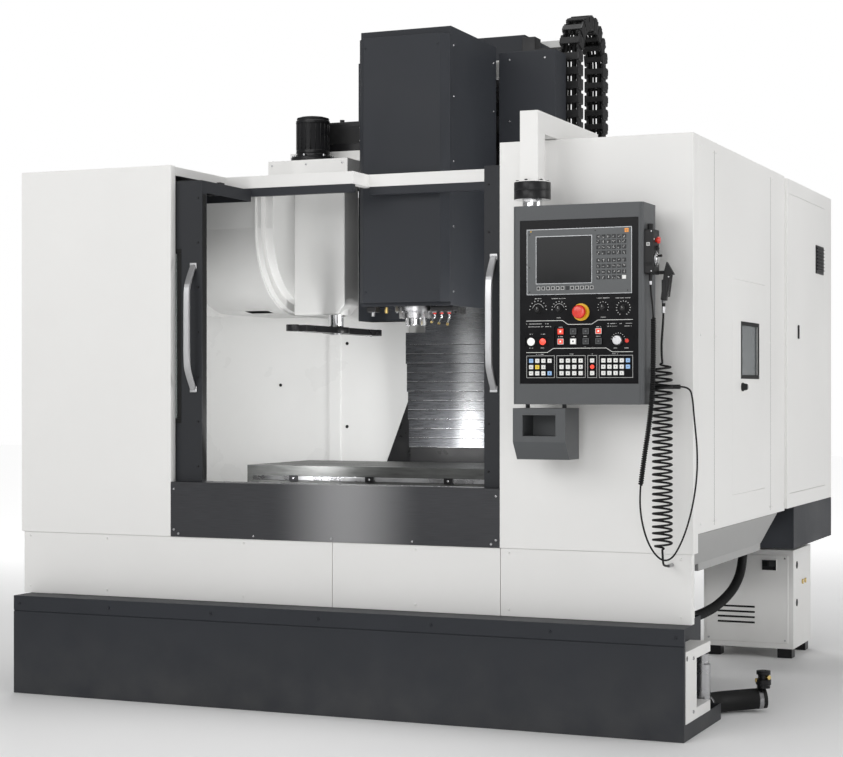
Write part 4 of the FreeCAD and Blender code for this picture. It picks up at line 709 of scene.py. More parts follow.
# service door: pane, gasket and knob
y0, z0, y1, z1 = 0.748, 1.331, 1.046, 1.543
side_glass = Piece("service_window")
side_glass.box((1.462, y0 + 0.001, z0 + 0.001), (1.468, y1 - 0.001, z1 - 0.001), SIDE_WINDOW, 0.001)
side_glass.done("service_door", "white")
service = Piece("service_door_trim")
for a, b, c, d in edge_bars(y0, y1, z0, z1, 0.010, 0.006):
    service.box((1.4725, a, c), (1.4755, b, d), RUBBER, 0.001)
service.done("service_door", "white")
knob = Piece("service_knob_cap")
knob.turned((1.4743, 0.756, 1.288), (1, 0, 0),
            [(0, 0), (0.0172, 0), (0.0172, 0.006), (0.0145, 0.009), (0.0125, 0.020),
             (0.0105, 0.0232), (0, 0.0238)], PLASTIC, 36)
knob.box((1.4960, 0.7545, 1.277), (1.4984, 0.7575, 1.299), PRINT, 0.0004)
knob.done("service_knob", "dial_black", ("service_knob",))

# cabinets: louvre, latch, rear doors and the gear inside
louvre = Piece("cabinet_louvre")
y0, y1, z0, z1, x = 2.176, 2.352, 1.828, 1.962, 1.486
louvre.box((x - 0.001, y0, z0), (x + 0.005, y1, z1), BLACK, 0.002)
for step in range(7):
    z = z0 + 0.016 + step * 0.0165
    louvre.prism([(x + 0.004, z), (x + 0.010, z + 0.002), (x + 0.010, z + 0.0045), (x + 0.004, z + 0.011)],
                 "xz",
                 y0 + 0.010, y1 - 0.010, PLASTIC, 0.0004)
louvre.done("cabinet_door", "black")
latch = Piece("cabinet_latch_lever")
low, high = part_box("cabinet_latch")
latch.box((low.x, low.y, low.z), (high.x, high.y, high.z), PLASTIC, 0.0025, 3)
latch.rod((high.x - 0.0005, (low.y + high.y) / 2, high.z - 0.014),
          (high.x, (low.y + high.y) / 2, high.z - 0.014),
          0.006, STEEL, 20, 0.0002)
latch.done("cabinet_latch", "dial_black", ("cabinet_latch",))

rear = Piece("cabinet_rear_details")
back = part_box("rear_cabinets")[1].y
for side in (1, -1):
    a, b = sorted((side * 0.66, side * 1.44))
    rear.box((a, back - 0.0010, 0.80), (b, back + 0.0045, 2.165), WHITE, 0.002)
    for z in (1.0, 1.48, 1.96):
        hinge_x = b - 0.01 if side > 0 else a + 0.01
        rear.rod((hinge_x, back + 0.004, z - 0.035), (hinge_x, back + 0.004, z + 0.035), 0.0075, BLACK, 18)
    handle_x = a + 0.07 if side > 0 else b - 0.07
    rear.box((handle_x - 0.014, back + 0.004, 1.40), (handle_x + 0.014, back + 0.012, 1.54), BLACK, 0.003)
    for z0, z1 in ((0.90, 1.06), (1.92, 2.08)):
        middle = (a + b) / 2
        rear.box((middle - 0.13, back + 0.004, z0), (middle + 0.13, back + 0.010, z1), PLASTIC, 0.002)
        for step in range(9):
            z = z0 + 0.014 + step * 0.0155
            rear.prism([(back + 0.009, z), (back + 0.0145, z + 0.002), (back + 0.0145, z + 0.004),
                        (back + 0.009, z + 0.010)], "yz", middle - 0.118, middle + 0.118, BLACK, 0.0003)
rear.done("machine", "white")

gear = Piece("cabinet_gear_details")
for number in range(5):
    y = 1.554 + 0.120 + number * 0.130
    gear.box((0.858, y + 0.006, 1.26), (0.866, y + 0.094, 1.62), PLASTIC, 0.002)
    gear.box((0.864, y + 0.024, 1.53), (0.868, y + 0.076, 1.58), SCREEN, 0.001)
    for step in range(4):
        gear.box((0.864, y + 0.020 + step * 0.016, 1.275), (0.8695, y + 0.030 + step * 0.016, 1.31),
                 KEY_WHITE, 0.001)
gear.done("machine", "white")

# rear floor unit
unit = Piece("rear_unit_details")
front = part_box("rear_unit")[0].y
unit.box((1.236, front - 0.0012, 0.418), (1.304, front + 0.001, 0.466), BLACK, 0.001)
unit.box((1.242, front - 0.0022, 0.436), (1.262, front, 0.460), SCREEN, 0.0005)
unit.box((1.270, front - 0.0022, 0.436), (1.296, front, 0.460), KEY_GREY, 0.0005)
# vent slots: dark boxes just behind the face, painted shade inside the slots
for z in (0.16, 0.185, 0.21, 0.235):
    unit.box((1.02, front + 0.0042, z), (1.20, front + 0.0074, z + 0.009), DARK_SEAMS_AND_HOLE_SHADE, 0.001)
for x in (0.975, 1.345):
    for z in (0.085, 0.475):
        unit.screw((x, front + 0.0058, z), (0, -1, 0), 0.005)
# two round ports, their insides painted shade
for z in (0.44, 0.26):
    unit.rod((1.3845, 2.235, z), (1.3865, 2.235, z), 0.018, DARK_SEAMS_AND_HOLE_SHADE, 24, 0.0002)
for y in (2.36, 2.42):
    unit.rod((1.3850, y, 0.35), (1.392, y, 0.35), 0.012, BRASS, 20)
unit.done("machine", "white")

# tank: screws, cap and pump
tank = Piece("tank_details")
for x in (-1.40, -0.96, -0.48, 0.0, 0.48, 0.96, 1.44):
    tank.screw((x, -0.1202, 0.378), (0, -1, 0), 0.006, GRAPHITE)
tank.rod((1.4395, -0.085, 0.300), (1.4745, -0.085, 0.300), 0.010, BLACK, 20)
for z in (0.095, 0.292):
    tank.screw((1.4742, 0.00, z), (1, 0, 0), 0.007)
tank.done("machine", "graphite")
pump = Piece("tank_pump")
pump.turned((1.43, 0.30, 0.068), (0, 0, 1),
            [(0, 0), (0.030, 0), (0.030, 0.16), (0.024, 0.165), (0.024, 0.20), (0, 0.205)],
            STEEL, 32)
pump.done("machine", "machined")

# ---------------------------------------------------------------- faces of one node in a second finish
def repaint(name, material, chosen):
    mesh = nodes[name].data
    mesh.materials.append(material)
    for face in mesh.polygons:
        if chosen(face.center):
            face.material_index = len(mesh.materials) - 1


repaint("rear_cabinets", GRAPHITE, lambda at: at.z < 0.7505)
repaint("pendant_arm", BLACK, lambda at: 1.5 < at.z < 2.0425)
repaint("pendant_arm", STEEL, lambda at: at.z < 1.0)
repaint("pendant_housing", CHROME, lambda at: 1.9485 < at.z < 1.9782)
repaint("pendant_housing", BLACK, lambda at: at.z >= 1.9782)
repaint("pendant_housing", PLASTIC, lambda at: at.x > 1.3605)
repaint("apron_and_rails", GRAPHITE, lambda at: at.z > 1.5)
repaint("column_covers", BLACK, lambda at: at.z < 1.30)

# ---------------------------------------------------------------- operator panel
FACE = -0.256
marks_random = random.Random(11)


def bars(piece, low, high, depth, width, material):
    """Four bars just inside a rectangle on the panel, standing depth proud of it."""
    for a, b, c, d in edge_bars(low[0], high[0], low[1], high[1], 0, width):
        piece.box((a, FACE - depth, c), (b, FACE + 0.0004, d), material, 0)


def stroke(piece, start, end, width, material=PRINT):
    """Printed line between two (x, z) points of the panel."""
    a, b = Vector(start), Vector(end)
    side = Vector((a.y - b.y, b.x - a.x)).normalized() * width / 2
    piece.prism([tuple(a + side), tuple(b + side), tuple(b - side), tuple(a - side)], "xz",
                FACE - 0.0004, FACE + 0.0002, material, 0)


def lettering(piece, left, right, middle, tall=0.003):
    """A row of small printed bars where the panel has a legend."""
    x = left
    while x < right - 0.001:
        wide = marks_random.uniform(0.0012, 0.0032)
        if marks_random.random() < 0.82:
            high = tall * marks_random.uniform(0.6, 1.0)
            piece.box((x, FACE - 0.0004, middle - high / 2),
                      (min(x + wide, right), FACE + 0.0002, middle + high / 2),
                      PRINT, 0)
        x += wide + 0.0011


screen = Piece("pendant_screen_unit")
screen.box((0.919, FACE - 0.0012, 1.622), (1.318, FACE + 0.0004, 1.861), BEZEL, 0.0005)
# rims round the bezel and the display: painted highlight on their edges
bars(screen, (0.919, 1.622), (1.318, 1.861), 0.0017, 0.0020, BEZEL_RIM_HIGHLIGHT)
bars(screen, (0.954, 1.661), (1.169, 1.835), 0.0019, 0.0022, BEZEL_RIM_HIGHLIGHT)
screen.box((0.9562, FACE - 0.0015, 1.6632), (1.1668, FACE, 1.8328), SCREEN, 0.0003)
for x, z in ((0.930, 1.842), (0.930, 1.633), (1.302, 1.633), (1.181, 1.850), (0.930, 1.722)):
    screen.rod((x, FACE - 0.001, z), (x, FACE - 0.0019, z), 0.0022, BLACK, 14, 0.0003)
screen.box((1.291, FACE - 0.0019, 1.841), (1.306, FACE - 0.001, 1.855), ORANGE, 0.0003)
screen.box((1.2945, FACE - 0.0021, 1.8468), (1.3025, FACE - 0.001, 1.8492), BEZEL, 0.0002)
screen.rod((0.935, FACE - 0.001, 1.853), (0.935, FACE - 0.0019, 1.853), 0.0023, YELLOW, 14, 0.0003)
screen.done("pendant", "panel_black")

caps = Piece("panel_key_caps")


def cap(x, z, wide, tall, material, proud=0.003):
    caps.box((x - wide / 2, FACE - proud, z - tall / 2), (x + wide / 2, FACE + 0.0006, z + tall / 2),
             material, 0.0009, 1)


def mark(x, z, wide, tall, material):
    caps.box((x - wide / 2, FACE - 0.0032, z - tall / 2), (x + wide / 2, FACE - 0.0028, z + tall / 2),
             material, 0)


for z in (1.8275, 1.809, 1.789, 1.769, 1.742, 1.721, 1.700, 1.6805):
    for column in range(6):
        x = 1.1927 + column * 0.0193
        last = column == 5 and z < 1.69
        cap(x, z, 0.0145, 0.0135, KEY_WHITE if last else KEY_GREY)
        if last:
            continue
        for shape in range(marks_random.choice((2, 3, 3))):
            upright = marks_random.random() < 0.5
            mark(x + marks_random.uniform(-0.004, 0.004), z + marks_random.uniform(-0.0035, 0.0035),
                 0.0013 if upright else 0.005, 0.0055 if upright else 0.0012, PRINT)
for column in range(12):
    x = 0.955 + (column + 0.5) * 0.0185
    cap(x, 1.6455, 0.0130, 0.0130, KEY_GREY if column == 6 else PRINT, 0.0024)
    cap(x, 1.6455, 0.0098, 0.0098, KEY_GREY, 0.003)


def key_block(left, right, columns, colours):
    """Three rows of keys; colours maps (row from the top, column) to a finish, or None for no key."""
    pitch = (right - left) / columns
    for row in range(3):
        for column in range(columns):
            material = colours.get((row, column), KEY_WHITE)
            x, z = left + (column + 0.5) * pitch, 1.3817 - row * 0.0227
            if material is None:
                continue
            if material is LENS_RED:
                caps.rod((x, FACE + 0.0005, z), (x, FACE - 0.003, z), 0.0078, LENS_RED, 24, 0.0012)
                continue
            cap(x, z, 0.0158, 0.0150, material)
            mark(x, z, marks_random.uniform(0.002, 0.006), 0.0012, KEY_GREY)
            mark(x, z, 0.0012, marks_random.uniform(0.002, 0.006), KEY_GREY)


key_block(0.924, 1.019, 4, {(0, 0): KEY_BLUE, (1, 1): KEY_YELLOW, (1, 3): None, (2, 3): KEY_BLUE})
key_block(1.041, 1.138, 4, {})
key_block(1.158, 1.181, 1, {(1, 0): LENS_RED})
key_block(1.200, 1.315, 5, {(0, 4): KEY_BLUE, (1, 4): KEY_BLUE, (2, 4): None})

for x, z, lit, ring in ((1.049, 1.4877, LENS_RED, RED), (1.097, 1.4877, KEY_GREY, BEZEL),
                        (1.145, 1.4877, KEY_GREY, BEZEL),
                        (1.193, 1.4877, LENS_RED, PRINT), (1.049, 1.4514, LENS_RED, PRINT),
                        (1.097, 1.4514, LENS_WHITE, PRINT),
                        (1.145, 1.4514, KEY_GREY, BEZEL), (1.193, 1.4514, KEY_GREY, BEZEL)):
    cap(x, z, 0.0235, 0.0215, ring, 0.0022)
    cap(x, z, 0.0190, 0.0170, lit, 0.003)
    mark(x, z, 0.0062, 0.0062, LENS_WHITE if lit is LENS_RED else BEZEL)
for x, lens in ((0.935, LENS_WHITE), (0.980, LENS_RED)):
    radius = 0.0145 if lens is LENS_WHITE else 0.0120
    caps.turned((x, FACE + 0.0005, 1.4515), (0, -1, 0),
                [(0, 0), (radius, 0), (radius, 0.0022), (radius - 0.003, 0.0034),
                 (0, 0.0036)], lens, 32)
caps.done("panel_keys", "keys", ("panel_keys",))

legend = Piece("panel_legends")
for points in (((0.9165, 1.5275), (1.0564, 1.5275), (1.0770, 1.5130), (1.1671, 1.5130), (1.1900, 1.5275),
                (1.3210, 1.5275)),
               ((0.9165, 1.4120), (0.9979, 1.4120), (1.0211, 1.4265), (1.2215, 1.4265), (1.2447, 1.4125),
                (1.3210, 1.4125))):
    for a, b in zip(points, points[1:]):
        stroke(legend, a, b, 0.0017, KEY_WHITE)
for left, right in ((0.9175, 1.0260), (1.0335, 1.1435), (1.1515, 1.1870), (1.1950, 1.3215)):
    bars(legend, (left, 1.3195), (right, 1.4005), 0.0005, 0.0013, PRINT)
DIALS = ((0.962, 1.569, 0.030, 0.034, 9, 90, 0.021), (1.043, 1.570, 0.025, 0.029, 9, 95, 0.019),
         (1.210, 1.573, 0.0185, 0.0215, 9, 120, 0), (1.286, 1.569, 0.0235, 0.0275, 15, 150, 0),
         (1.267, 1.454, 0.0245, 0.0275, 9, 80, 0))
for x, z, inner, outer, count, sweep, arc in DIALS:
    for number in range(count):
        angle = math.radians(-sweep + 2 * sweep * number / (count - 1))
        ends = [(x + reach * math.sin(angle), z + reach * math.cos(angle)) for reach in (inner, outer)]
        stroke(legend, *ends, 0.0022)
    if arc:
        steps = [math.radians(-75 + 10 * k) for k in range(16)]
        ring = [(x + arc * math.sin(angle), z + arc * math.cos(angle)) for angle in steps]
        for a, b in zip(ring, ring[1:]):
            stroke(legend, a, b, 0.0012)
for left, right, z in ((0.950, 0.975, 1.6085), (1.015, 1.068, 1.6075), (1.187, 1.234, 1.6065),
                       (1.256, 1.314, 1.6055),
                       (1.034, 1.050, 1.5375), (1.199, 1.221, 1.5375), (0.917, 0.978, 1.5165),
                       (0.990, 1.010, 1.5165),
                       (0.917, 0.982, 1.5060), (0.990, 1.012, 1.5060), (1.226, 1.262, 1.5140),
                       (1.272, 1.282, 1.5140),
                       (1.295, 1.318, 1.5140), (1.226, 1.262, 1.5045), (1.290, 1.318, 1.5045),
                       (0.930, 0.942, 1.4790),
                       (0.974, 0.990, 1.4790), (0.926, 0.944, 1.4285), (0.973, 0.987, 1.4285),
                       (1.042, 1.056, 1.5035),
                       (1.185, 1.202, 1.5035), (1.040, 1.058, 1.4690), (1.091, 1.105, 1.4690),
                       (1.137, 1.153, 1.4690),
                       (1.184, 1.203, 1.4690), (0.955, 0.984, 1.4055), (1.080, 1.098, 1.4055),
                       (1.165, 1.173, 1.4055),
                       (1.245, 1.268, 1.4055), (1.250, 1.262, 1.4260), (1.290, 1.306, 1.4260),
                       (1.138, 1.146, 1.4310)):
    lettering(legend, left, right, z)
legend.rod((1.2995, FACE + 0.0005, 1.452), (1.2995, FACE - 0.004, 1.452), 0.0075, RED, 24, 0.001)
legend.turned((1.128, FACE + 0.0003, 1.557), (0, -1, 0),
              [(0.0100, 0.0070), (0.0300, 0.0070), (0.0313, 0.0058), (0.0313, 0.0)],
              YELLOW, 48)
legend.done("pendant", "panel_black")

low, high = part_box("stop_button")
stop = Piece("stop_button_head")
deep = high.y - low.y
stop.turned(((low.x + high.x) / 2, high.y, (low.z + high.z) / 2), (0, -1, 0),
            [(0, 0), (0.0098, 0), (0.0098, 0.42 * deep), (0.0215, 0.46 * deep), (0.0245, 0.56 * deep),
             (0.0248, 0.78 * deep),
             (0.0232, 0.91 * deep), (0.0190, 0.975 * deep), (0.0120, deep), (0, deep)], RED, 48)
stop.done("stop_button", "stop_red", ("stop_button",))
for number, (x, z) in enumerate([dial[:2] for dial in DIALS[:4]], start=1):
    small = Piece(f"dial_knob_{number}")
    small.turned((x, FACE - 0.0003, z), (0, -1, 0),
                 [(0, 0), (0.0129, 0), (0.0129, 0.0022), (0.0112, 0.0034), (0.0098, 0.0125),
                  (0.0085, 0.0136), (0, 0.0138)], PLASTIC, 28)
    turn = marks_random.uniform(-1.2, 1.2)
    tip = (x + 0.0082 * math.sin(turn), z + 0.0082 * math.cos(turn))
    small.tube([(x, FACE - 0.0139, z), (tip[0], FACE - 0.0139, tip[1])], 0.0007, KEY_WHITE, 6)
    small.done(f"dial_{number}", "dial_black", (f"dial_{number}",))
feed = Piece("feed_dial_knob")
feed.turned((1.267, FACE - 0.0003, 1.454), (0, -1, 0),
            [(0, 0), (0.0198, 0), (0.0198, 0.0030), (0.0180, 0.0042)], BLACK, 40)
feed.turned((1.267, FACE - 0.0043, 1.454), (0, -1, 0),
            [(0.0175, 0), (0.0172, 0.0130), (0.0158, 0.0152), (0, 0.0155)],
            BRIGHT, 40)
for x, z in round_about(24, 0.0173):
    feed.tube([(1.267 + x, FACE - 0.0055, 1.454 + z), (1.267 + x, FACE - 0.0165, 1.454 + z)], 0.0008, STEEL,
              5)
feed.tube([(1.262, FACE - 0.0199, 1.462), (1.2566, FACE - 0.0196, 1.4665)], 0.0008, BLACK, 6)
feed.done("feed_dial", "dial_black", ("feed_dial",))

# ---------------------------------------------------------------- pendant case, swivel and arm
hardware = Piece("pendant_hardware")
for x, z in ((0.880, 1.236), (0.880, 1.935), (1.345, 1.236), (1.345, 1.935)):
    hardware.screw((x, -0.1018, z), (0, 1, 0), 0.0045, BLACK)
hardware.box((0.902, -0.2612, 1.1835), (1.030, -0.2598, 1.1870), BEZEL, 0.0004)
hardware.box((1.352, -0.2612, 1.240), (1.3545, -0.2596, 1.930), BEZEL, 0.0005)
hardware.done("pendant", "slate")
flange = Piece("swivel_bolts")
swivel = Vector((0.911, -0.175, 0))
for x, y in round_about(6, 0.055, 25):
    if abs(x) > 0.037 or y < -0.040 or y > 0.042:
        flange.rod(swivel + Vector((x, y, 2.0420)), swivel + Vector((x, y, 2.0510)), 0.0062, BLACK, 18,
                   0.0008)
flange.turned(swivel + Vector((0, 0, 2.0418)), (0, 0, 1),
              [(0.0400, 0.0), (0.0665, 0.0), (0.0665, 0.0028), (0.0655, 0.0036),
               (0.0400, 0.0036)], WHITE, 48)
flange.done("machine", "white")

# ---------------------------------------------------------------- handset, handwheel and air gun
grip = Piece("handset_details")
side = 1.3923
grip.turned((side, -0.205, 1.812), (1, 0, 0),
            [(0, 0), (0.0075, 0), (0.0075, 0.004), (0.0118, 0.0055), (0.0125, 0.0110),
             (0.0112, 0.0145), (0, 0.0155)], RED, 32)
grip.rod((side - 0.0005, -0.232, 1.8145), (side + 0.0012, -0.232, 1.8145), 0.004, PRINT, 16, 0.0003)
grip.turned((side, -0.205, 1.785), (1, 0, 0),
            [(0, 0), (0.0085, 0), (0.0080, 0.009), (0.0066, 0.011), (0, 0.0112)], PLASTIC, 24)
grip.box((side + 0.0105, -0.2060, 1.7850), (side + 0.0117, -0.2040, 1.7925), PRINT, 0.0002)
grip.box((1.3680, -0.2462, 1.7900), (1.3810, -0.2448, 1.8030), PRINT, 0.0006)
grip.box((1.3735, -0.2466, 1.7925), (1.3755, -0.2458, 1.8005), KEY_GREY, 0)
grip.box((1.3705, -0.2466, 1.7955), (1.3785, -0.2458, 1.7975), KEY_GREY, 0)
for z in (1.700, 1.842):
    grip.screw((1.3860, -0.2448, z), (0, -1, 0), 0.0028, STEEL)
for z in (1.720, 1.7245, 1.729):
    grip.box((1.3640, -0.2458, z), (1.3885, -0.2446, z + 0.0018), RUBBER, 0.0004)
grip.done("pendant", "plastic_black")
wheel = Piece("handwheel_dial")
centre = Vector((1.3927, -0.207, 1.745))
wheel.turned(centre, (1, 0, 0), [(0, 0), (0.0265, 0), (0.0268, 0.0030), (0.0255, 0.0040)], STEEL, 56)
wheel.turned(centre + Vector((0.0040, 0, 0)), (1, 0, 0),
             [(0.0255, 0), (0.0180, 0.0016), (0.0175, 0.0044), (0.0110, 0.0050),
              (0, 0.0050)], CHROME, 48)
for y, z in round_about(40, 0.0242):
    wheel.box(centre + Vector((0.0040, y - 0.0004, z - 0.0004)),
              centre + Vector((0.0050, y + 0.0004, z + 0.0004)), BLACK, 0)
wheel.turned(centre + Vector((0.0075, 0.012, 0.012)), (1, 0, 0),
             [(0.0040, 0), (0.0044, 0.004), (0.0052, 0.0095), (0.0040, 0.0115),
              (0, 0.0118)], PLASTIC, 20)
wheel.done("handwheel", "plastic_black", ("handwheel",))
gun = Piece("air_gun_fittings")
gun.rod((1.4090, -0.165, 1.6005), (1.4090, -0.165, 1.5880), 0.0078, STEEL, 6, 0.0006)
gun.rod((1.4090, -0.165, 1.5885), (1.4090, -0.165, 1.5760), 0.0062, BRIGHT, 24)
gun.rod((1.4090, -0.165, 1.5765), (1.4081, -0.165, 1.5520), 0.0068, BRIGHT, 24)
gun.box((1.4045, -0.1775, 1.612), (1.4190, -0.1755, 1.672), PLASTIC, 0.0008)
gun.screw((1.4300, -0.1760, 1.682), (0, -1, 0), 0.003, STEEL)
gun.rod((1.3760, -0.222, 1.6700), (1.3763, -0.222, 1.6520), 0.0058, STEEL, 20, 0.0006)
gun.done("pendant", "plastic_black")

# ---------------------------------------------------------------- drag chain
CHAIN_X, CHAIN_Y, CHAIN_TOP, CHAIN_RUN = 0.49, 1.710, 2.810, 0.1875
FIXED_END, MOVING_END = 2.040, 2.250
LINKS = 29
back_length, arc_length, front_length = CHAIN_TOP - FIXED_END, math.pi * CHAIN_RUN, CHAIN_TOP - MOVING_END
chain_length = back_length + arc_length + front_length
SIDEWAYS = Vector((1, 0, 0))


def chain_place(distance):
    """Point and direction on the chain's middle line, from the fixed end."""
    if distance < back_length:
        return Vector((CHAIN_X, CHAIN_Y + CHAIN_RUN, FIXED_END + distance)), Vector((0, 0, 1))
    if distance < back_length + arc_length:
        angle = (distance - back_length) / CHAIN_RUN
        ahead = Vector((0, -math.sin(angle), math.cos(angle)))
        return Vector((CHAIN_X, CHAIN_Y + CHAIN_RUN * ahead.z, CHAIN_TOP - CHAIN_RUN * ahead.y)), ahead
    drop = distance - back_length - arc_length
    return Vector((CHAIN_X, CHAIN_Y - CHAIN_RUN, CHAIN_TOP - drop)), Vector((0, 0, -1))


def oriented(piece, middle, ahead, offsets, size, material, bevel=0.001):
    """Box at (x, outward, ahead) offsets from a point of the chain, turned along it."""
    outward = ahead.cross(SIDEWAYS)
    shape = bmesh.new()
    turn = Matrix((SIDEWAYS, outward, ahead)).transposed().to_4x4()
    place = Matrix.Translation(middle + SIDEWAYS * offsets[0] + outward * offsets[1] + ahead * offsets[2])
    bmesh.ops.create_cube(shape, size=1.0, matrix=place @ turn @ Matrix.Diagonal((*size, 1.0)))
    if bevel:
        bmesh.ops.bevel(shape, geom=shape.edges[:], offset=bevel, segments=1, affect="EDGES", profile=0.5)
    return piece.add(shape, material)


chain = Piece("drag_chain_links")
pitch = chain_length / LINKS
for number in range(LINKS):
    middle, ahead = chain_place((number + 0.5) * pitch)
    for side in (-1, 1):
        oriented(chain, middle, ahead, (side * 0.0425, 0, -0.006), (0.0130, 0.0660, pitch * 0.80), PLASTIC,
                 0.003)
        oriented(chain, middle, ahead, (side * 0.0365, 0, 0.012), (0.0100, 0.0560, pitch * 0.86), PLASTIC,
                 0.003)
        pin = middle + SIDEWAYS * side * 0.0482 - ahead * (pitch * 0.28)
        chain.rod(pin, pin + SIDEWAYS * side * 0.0017, 0.0125, BLACK, 18, 0.0005)
        oriented(chain, middle, ahead, (side * 0.0420, 0.0340, 0), (0.0150, 0.0050, pitch * 0.42), BLACK,
                 0.001)
    oriented(chain, middle, ahead, (0, 0.0325, 0), (0.0860, 0.0085, pitch * 0.52), PLASTIC, 0.0015)
    oriented(chain, middle, ahead, (0, -0.0325, 0), (0.0860, 0.0085, pitch * 0.40), PLASTIC, 0.0015)
    oriented(chain, middle, ahead, (0, 0, 0), (0.0030, 0.0560, pitch * 0.35), PLASTIC, 0.0005)
for shift, radius in ((-0.026, 0.0095), (-0.008, 0.006), (0.014, 0.011)):
    inner_line = [chain_place(k * pitch * 0.5)[0] + SIDEWAYS * shift for k in range(1, 2 * LINKS)]
    chain.tube(inner_line, radius, RUBBER, 8)
for distance in (0.012, chain_length - 0.012):
    middle, ahead = chain_place(distance)
    oriented(chain, middle, ahead, (0, 0, 0), (0.0960, 0.0700, 0.020), STEEL, 0.002)
chain = chain.done("machine", "chain_black", ("drag_chain",))
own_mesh(chain)

# ---------------------------------------------------------------- head, spindle and coolant nozzles
covers = Piece("head_cover_screws")
for z in (1.70, 1.98, 2.26, 2.54, 2.76):
    for y in (0.765, 1.245):
        for side in (1, -1):
            covers.screw((side * 0.2130, y, z), (side, 0, 0), 0.0045)
for x in (-0.17, 0.17):
    for z in (1.70, 2.76):
        covers.screw((x, 0.6902, z), (0, -1, 0), 0.0045, GRAPHITE)
covers.done("head", "graphite")
ring = Piece("spindle_flange_screws")
SPINDLE = Vector((0, 0.850, 0))
for (x, y), (u, v) in zip(round_about(8, 0.083, 22.5), round_about(8, 0.064, 22.5)):
    at = SPINDLE + Vector((x, y, 1.6202))
    ring.rod(at, at - Vector((0, 0, 0.0065)), 0.0055, STEEL, 16, 0.0006)
    # hex socket drawn as a dark disc, painted shade inside it
    ring.rod(at - Vector((0, 0, 0.0064)), at - Vector((0, 0, 0.0067)), 0.0026, DARK_SEAMS_AND_HOLE_SHADE, 6, 0.0001)
    at = SPINDLE + Vector((u, v, 1.5902))
    ring.rod(at, at - Vector((0, 0, 0.004)), 0.0036, BLACK, 12, 0.0004)
ring.done("head", "machined")
drive = Piece("spindle_drive_keys")
for side in (1, -1):
    drive.box((side * 0.034 - 0.0075, 0.8425, 1.5575), (side * 0.034 + 0.0075, 0.8575, 1.5660), STEEL, 0.0008)
drive.done("spindle", "machined")

jets = Piece("coolant_nozzles")
jets.box((0.098, 0.775, 1.6180), (0.205, 0.835, 1.6398), BLACK, 0.003)
for x, tip in ((0.112, Vector((0.088, 0.822, 1.575))), (0.145, Vector((0.124, 0.818, 1.569))),
               (0.180, Vector((0.166, 0.812, 1.566)))):
    start = Vector((x, 0.795, 1.6185))
    jets.rod(start, start - Vector((0, 0, 0.0075)), 0.0092, STEEL, 6, 0.0006)
    jets.rod(start - Vector((0, 0, 0.0072)), start - Vector((0, 0, 0.0122)), 0.0080, RED, 20, 0.0008)
    route = [start - Vector((0, 0, 0.011)), start - Vector((0, -0.002, 0.026)), tip]
    for a, b in zip(route, route[1:]):
        jets.tube(along([a, b], 0.006), 0.0042, CHROME, 12)
    ahead = (tip - route[1]).normalized()
    jets.rod(tip - 0.002 * ahead, tip + 0.010 * ahead, 0.0055, BRASS, 12, 0.001)
for number in range(6):
    y = 0.862 + number * 0.018
    jets.turned((0.186, y, 1.6395), (0, 0, -1),
                [(0, 0.030), (0.0062, 0.030), (0.0085, 0.020), (0.0068, 0.012), (0.0088, 0.006),
                 (0.0088, 0)], PLASTIC, 16)
jets.done("head", "black")
probe = Piece("head_side_fittings")
probe.box((-0.1900, 0.742, 1.6160), (-0.1450, 0.790, 1.6398), BLACK, 0.003)
probe.rod((-0.168, 0.765, 1.6165), (-0.168, 0.765, 1.5980), 0.0085, STEEL, 20)
probe.rod((-0.120, 0.800, 1.6395), (-0.120, 0.800, 1.6120), 0.0075, BRASS, 16)
probe.done("head", "black")

# ---------------------------------------------------------------- tool changer
drive_motor = Piece("changer_motor_details")
at = Vector((-0.530, 0.900, 0))
for z, radius in ((2.3275, 0.0785), (2.345, 0.0765), (2.480, 0.0772)):
    drive_motor.turned(at + Vector((0, 0, z)), (0, 0, 1),
                       [(0.070, 0), (radius, 0), (radius, 0.010), (radius - 0.002, 0.012),
                        (0.070, 0.012)], BLACK, 48)
for x, y in round_about(20, 0.0745):
    drive_motor.tube([at + Vector((x, y, 2.360)), at + Vector((x, y, 2.478))], 0.0022, BLACK, 6)
for x, y in round_about(6, 0.0885, 30):
    drive_motor.rod(at + Vector((x, y, 2.327)), at + Vector((x, y, 2.336)), 0.0062, STEEL, 14)
drive_motor.turned(at + Vector((0, 0, 2.5045)), (0, 0, 1),
                   [(0.060, 0), (0.058, 0.004), (0.030, 0.0065), (0, 0.0065)], BLACK, 40)
drive_motor.box((-0.6300, 1.0190, 2.400), (-0.3400, 1.0215, 2.480), PLASTIC, 0.001)
for x in (-0.62, -0.35):
    for z in (2.41, 2.47):
        drive_motor.screw((x, 1.0188, z), (0, -1, 0), 0.004)
for x in (-0.56, -0.46):
    drive_motor.rod((x, 1.060, 2.4995), (x, 1.060, 2.5150), 0.012, BLACK, 6, 0.0008)
drive_motor.done("machine", "black")
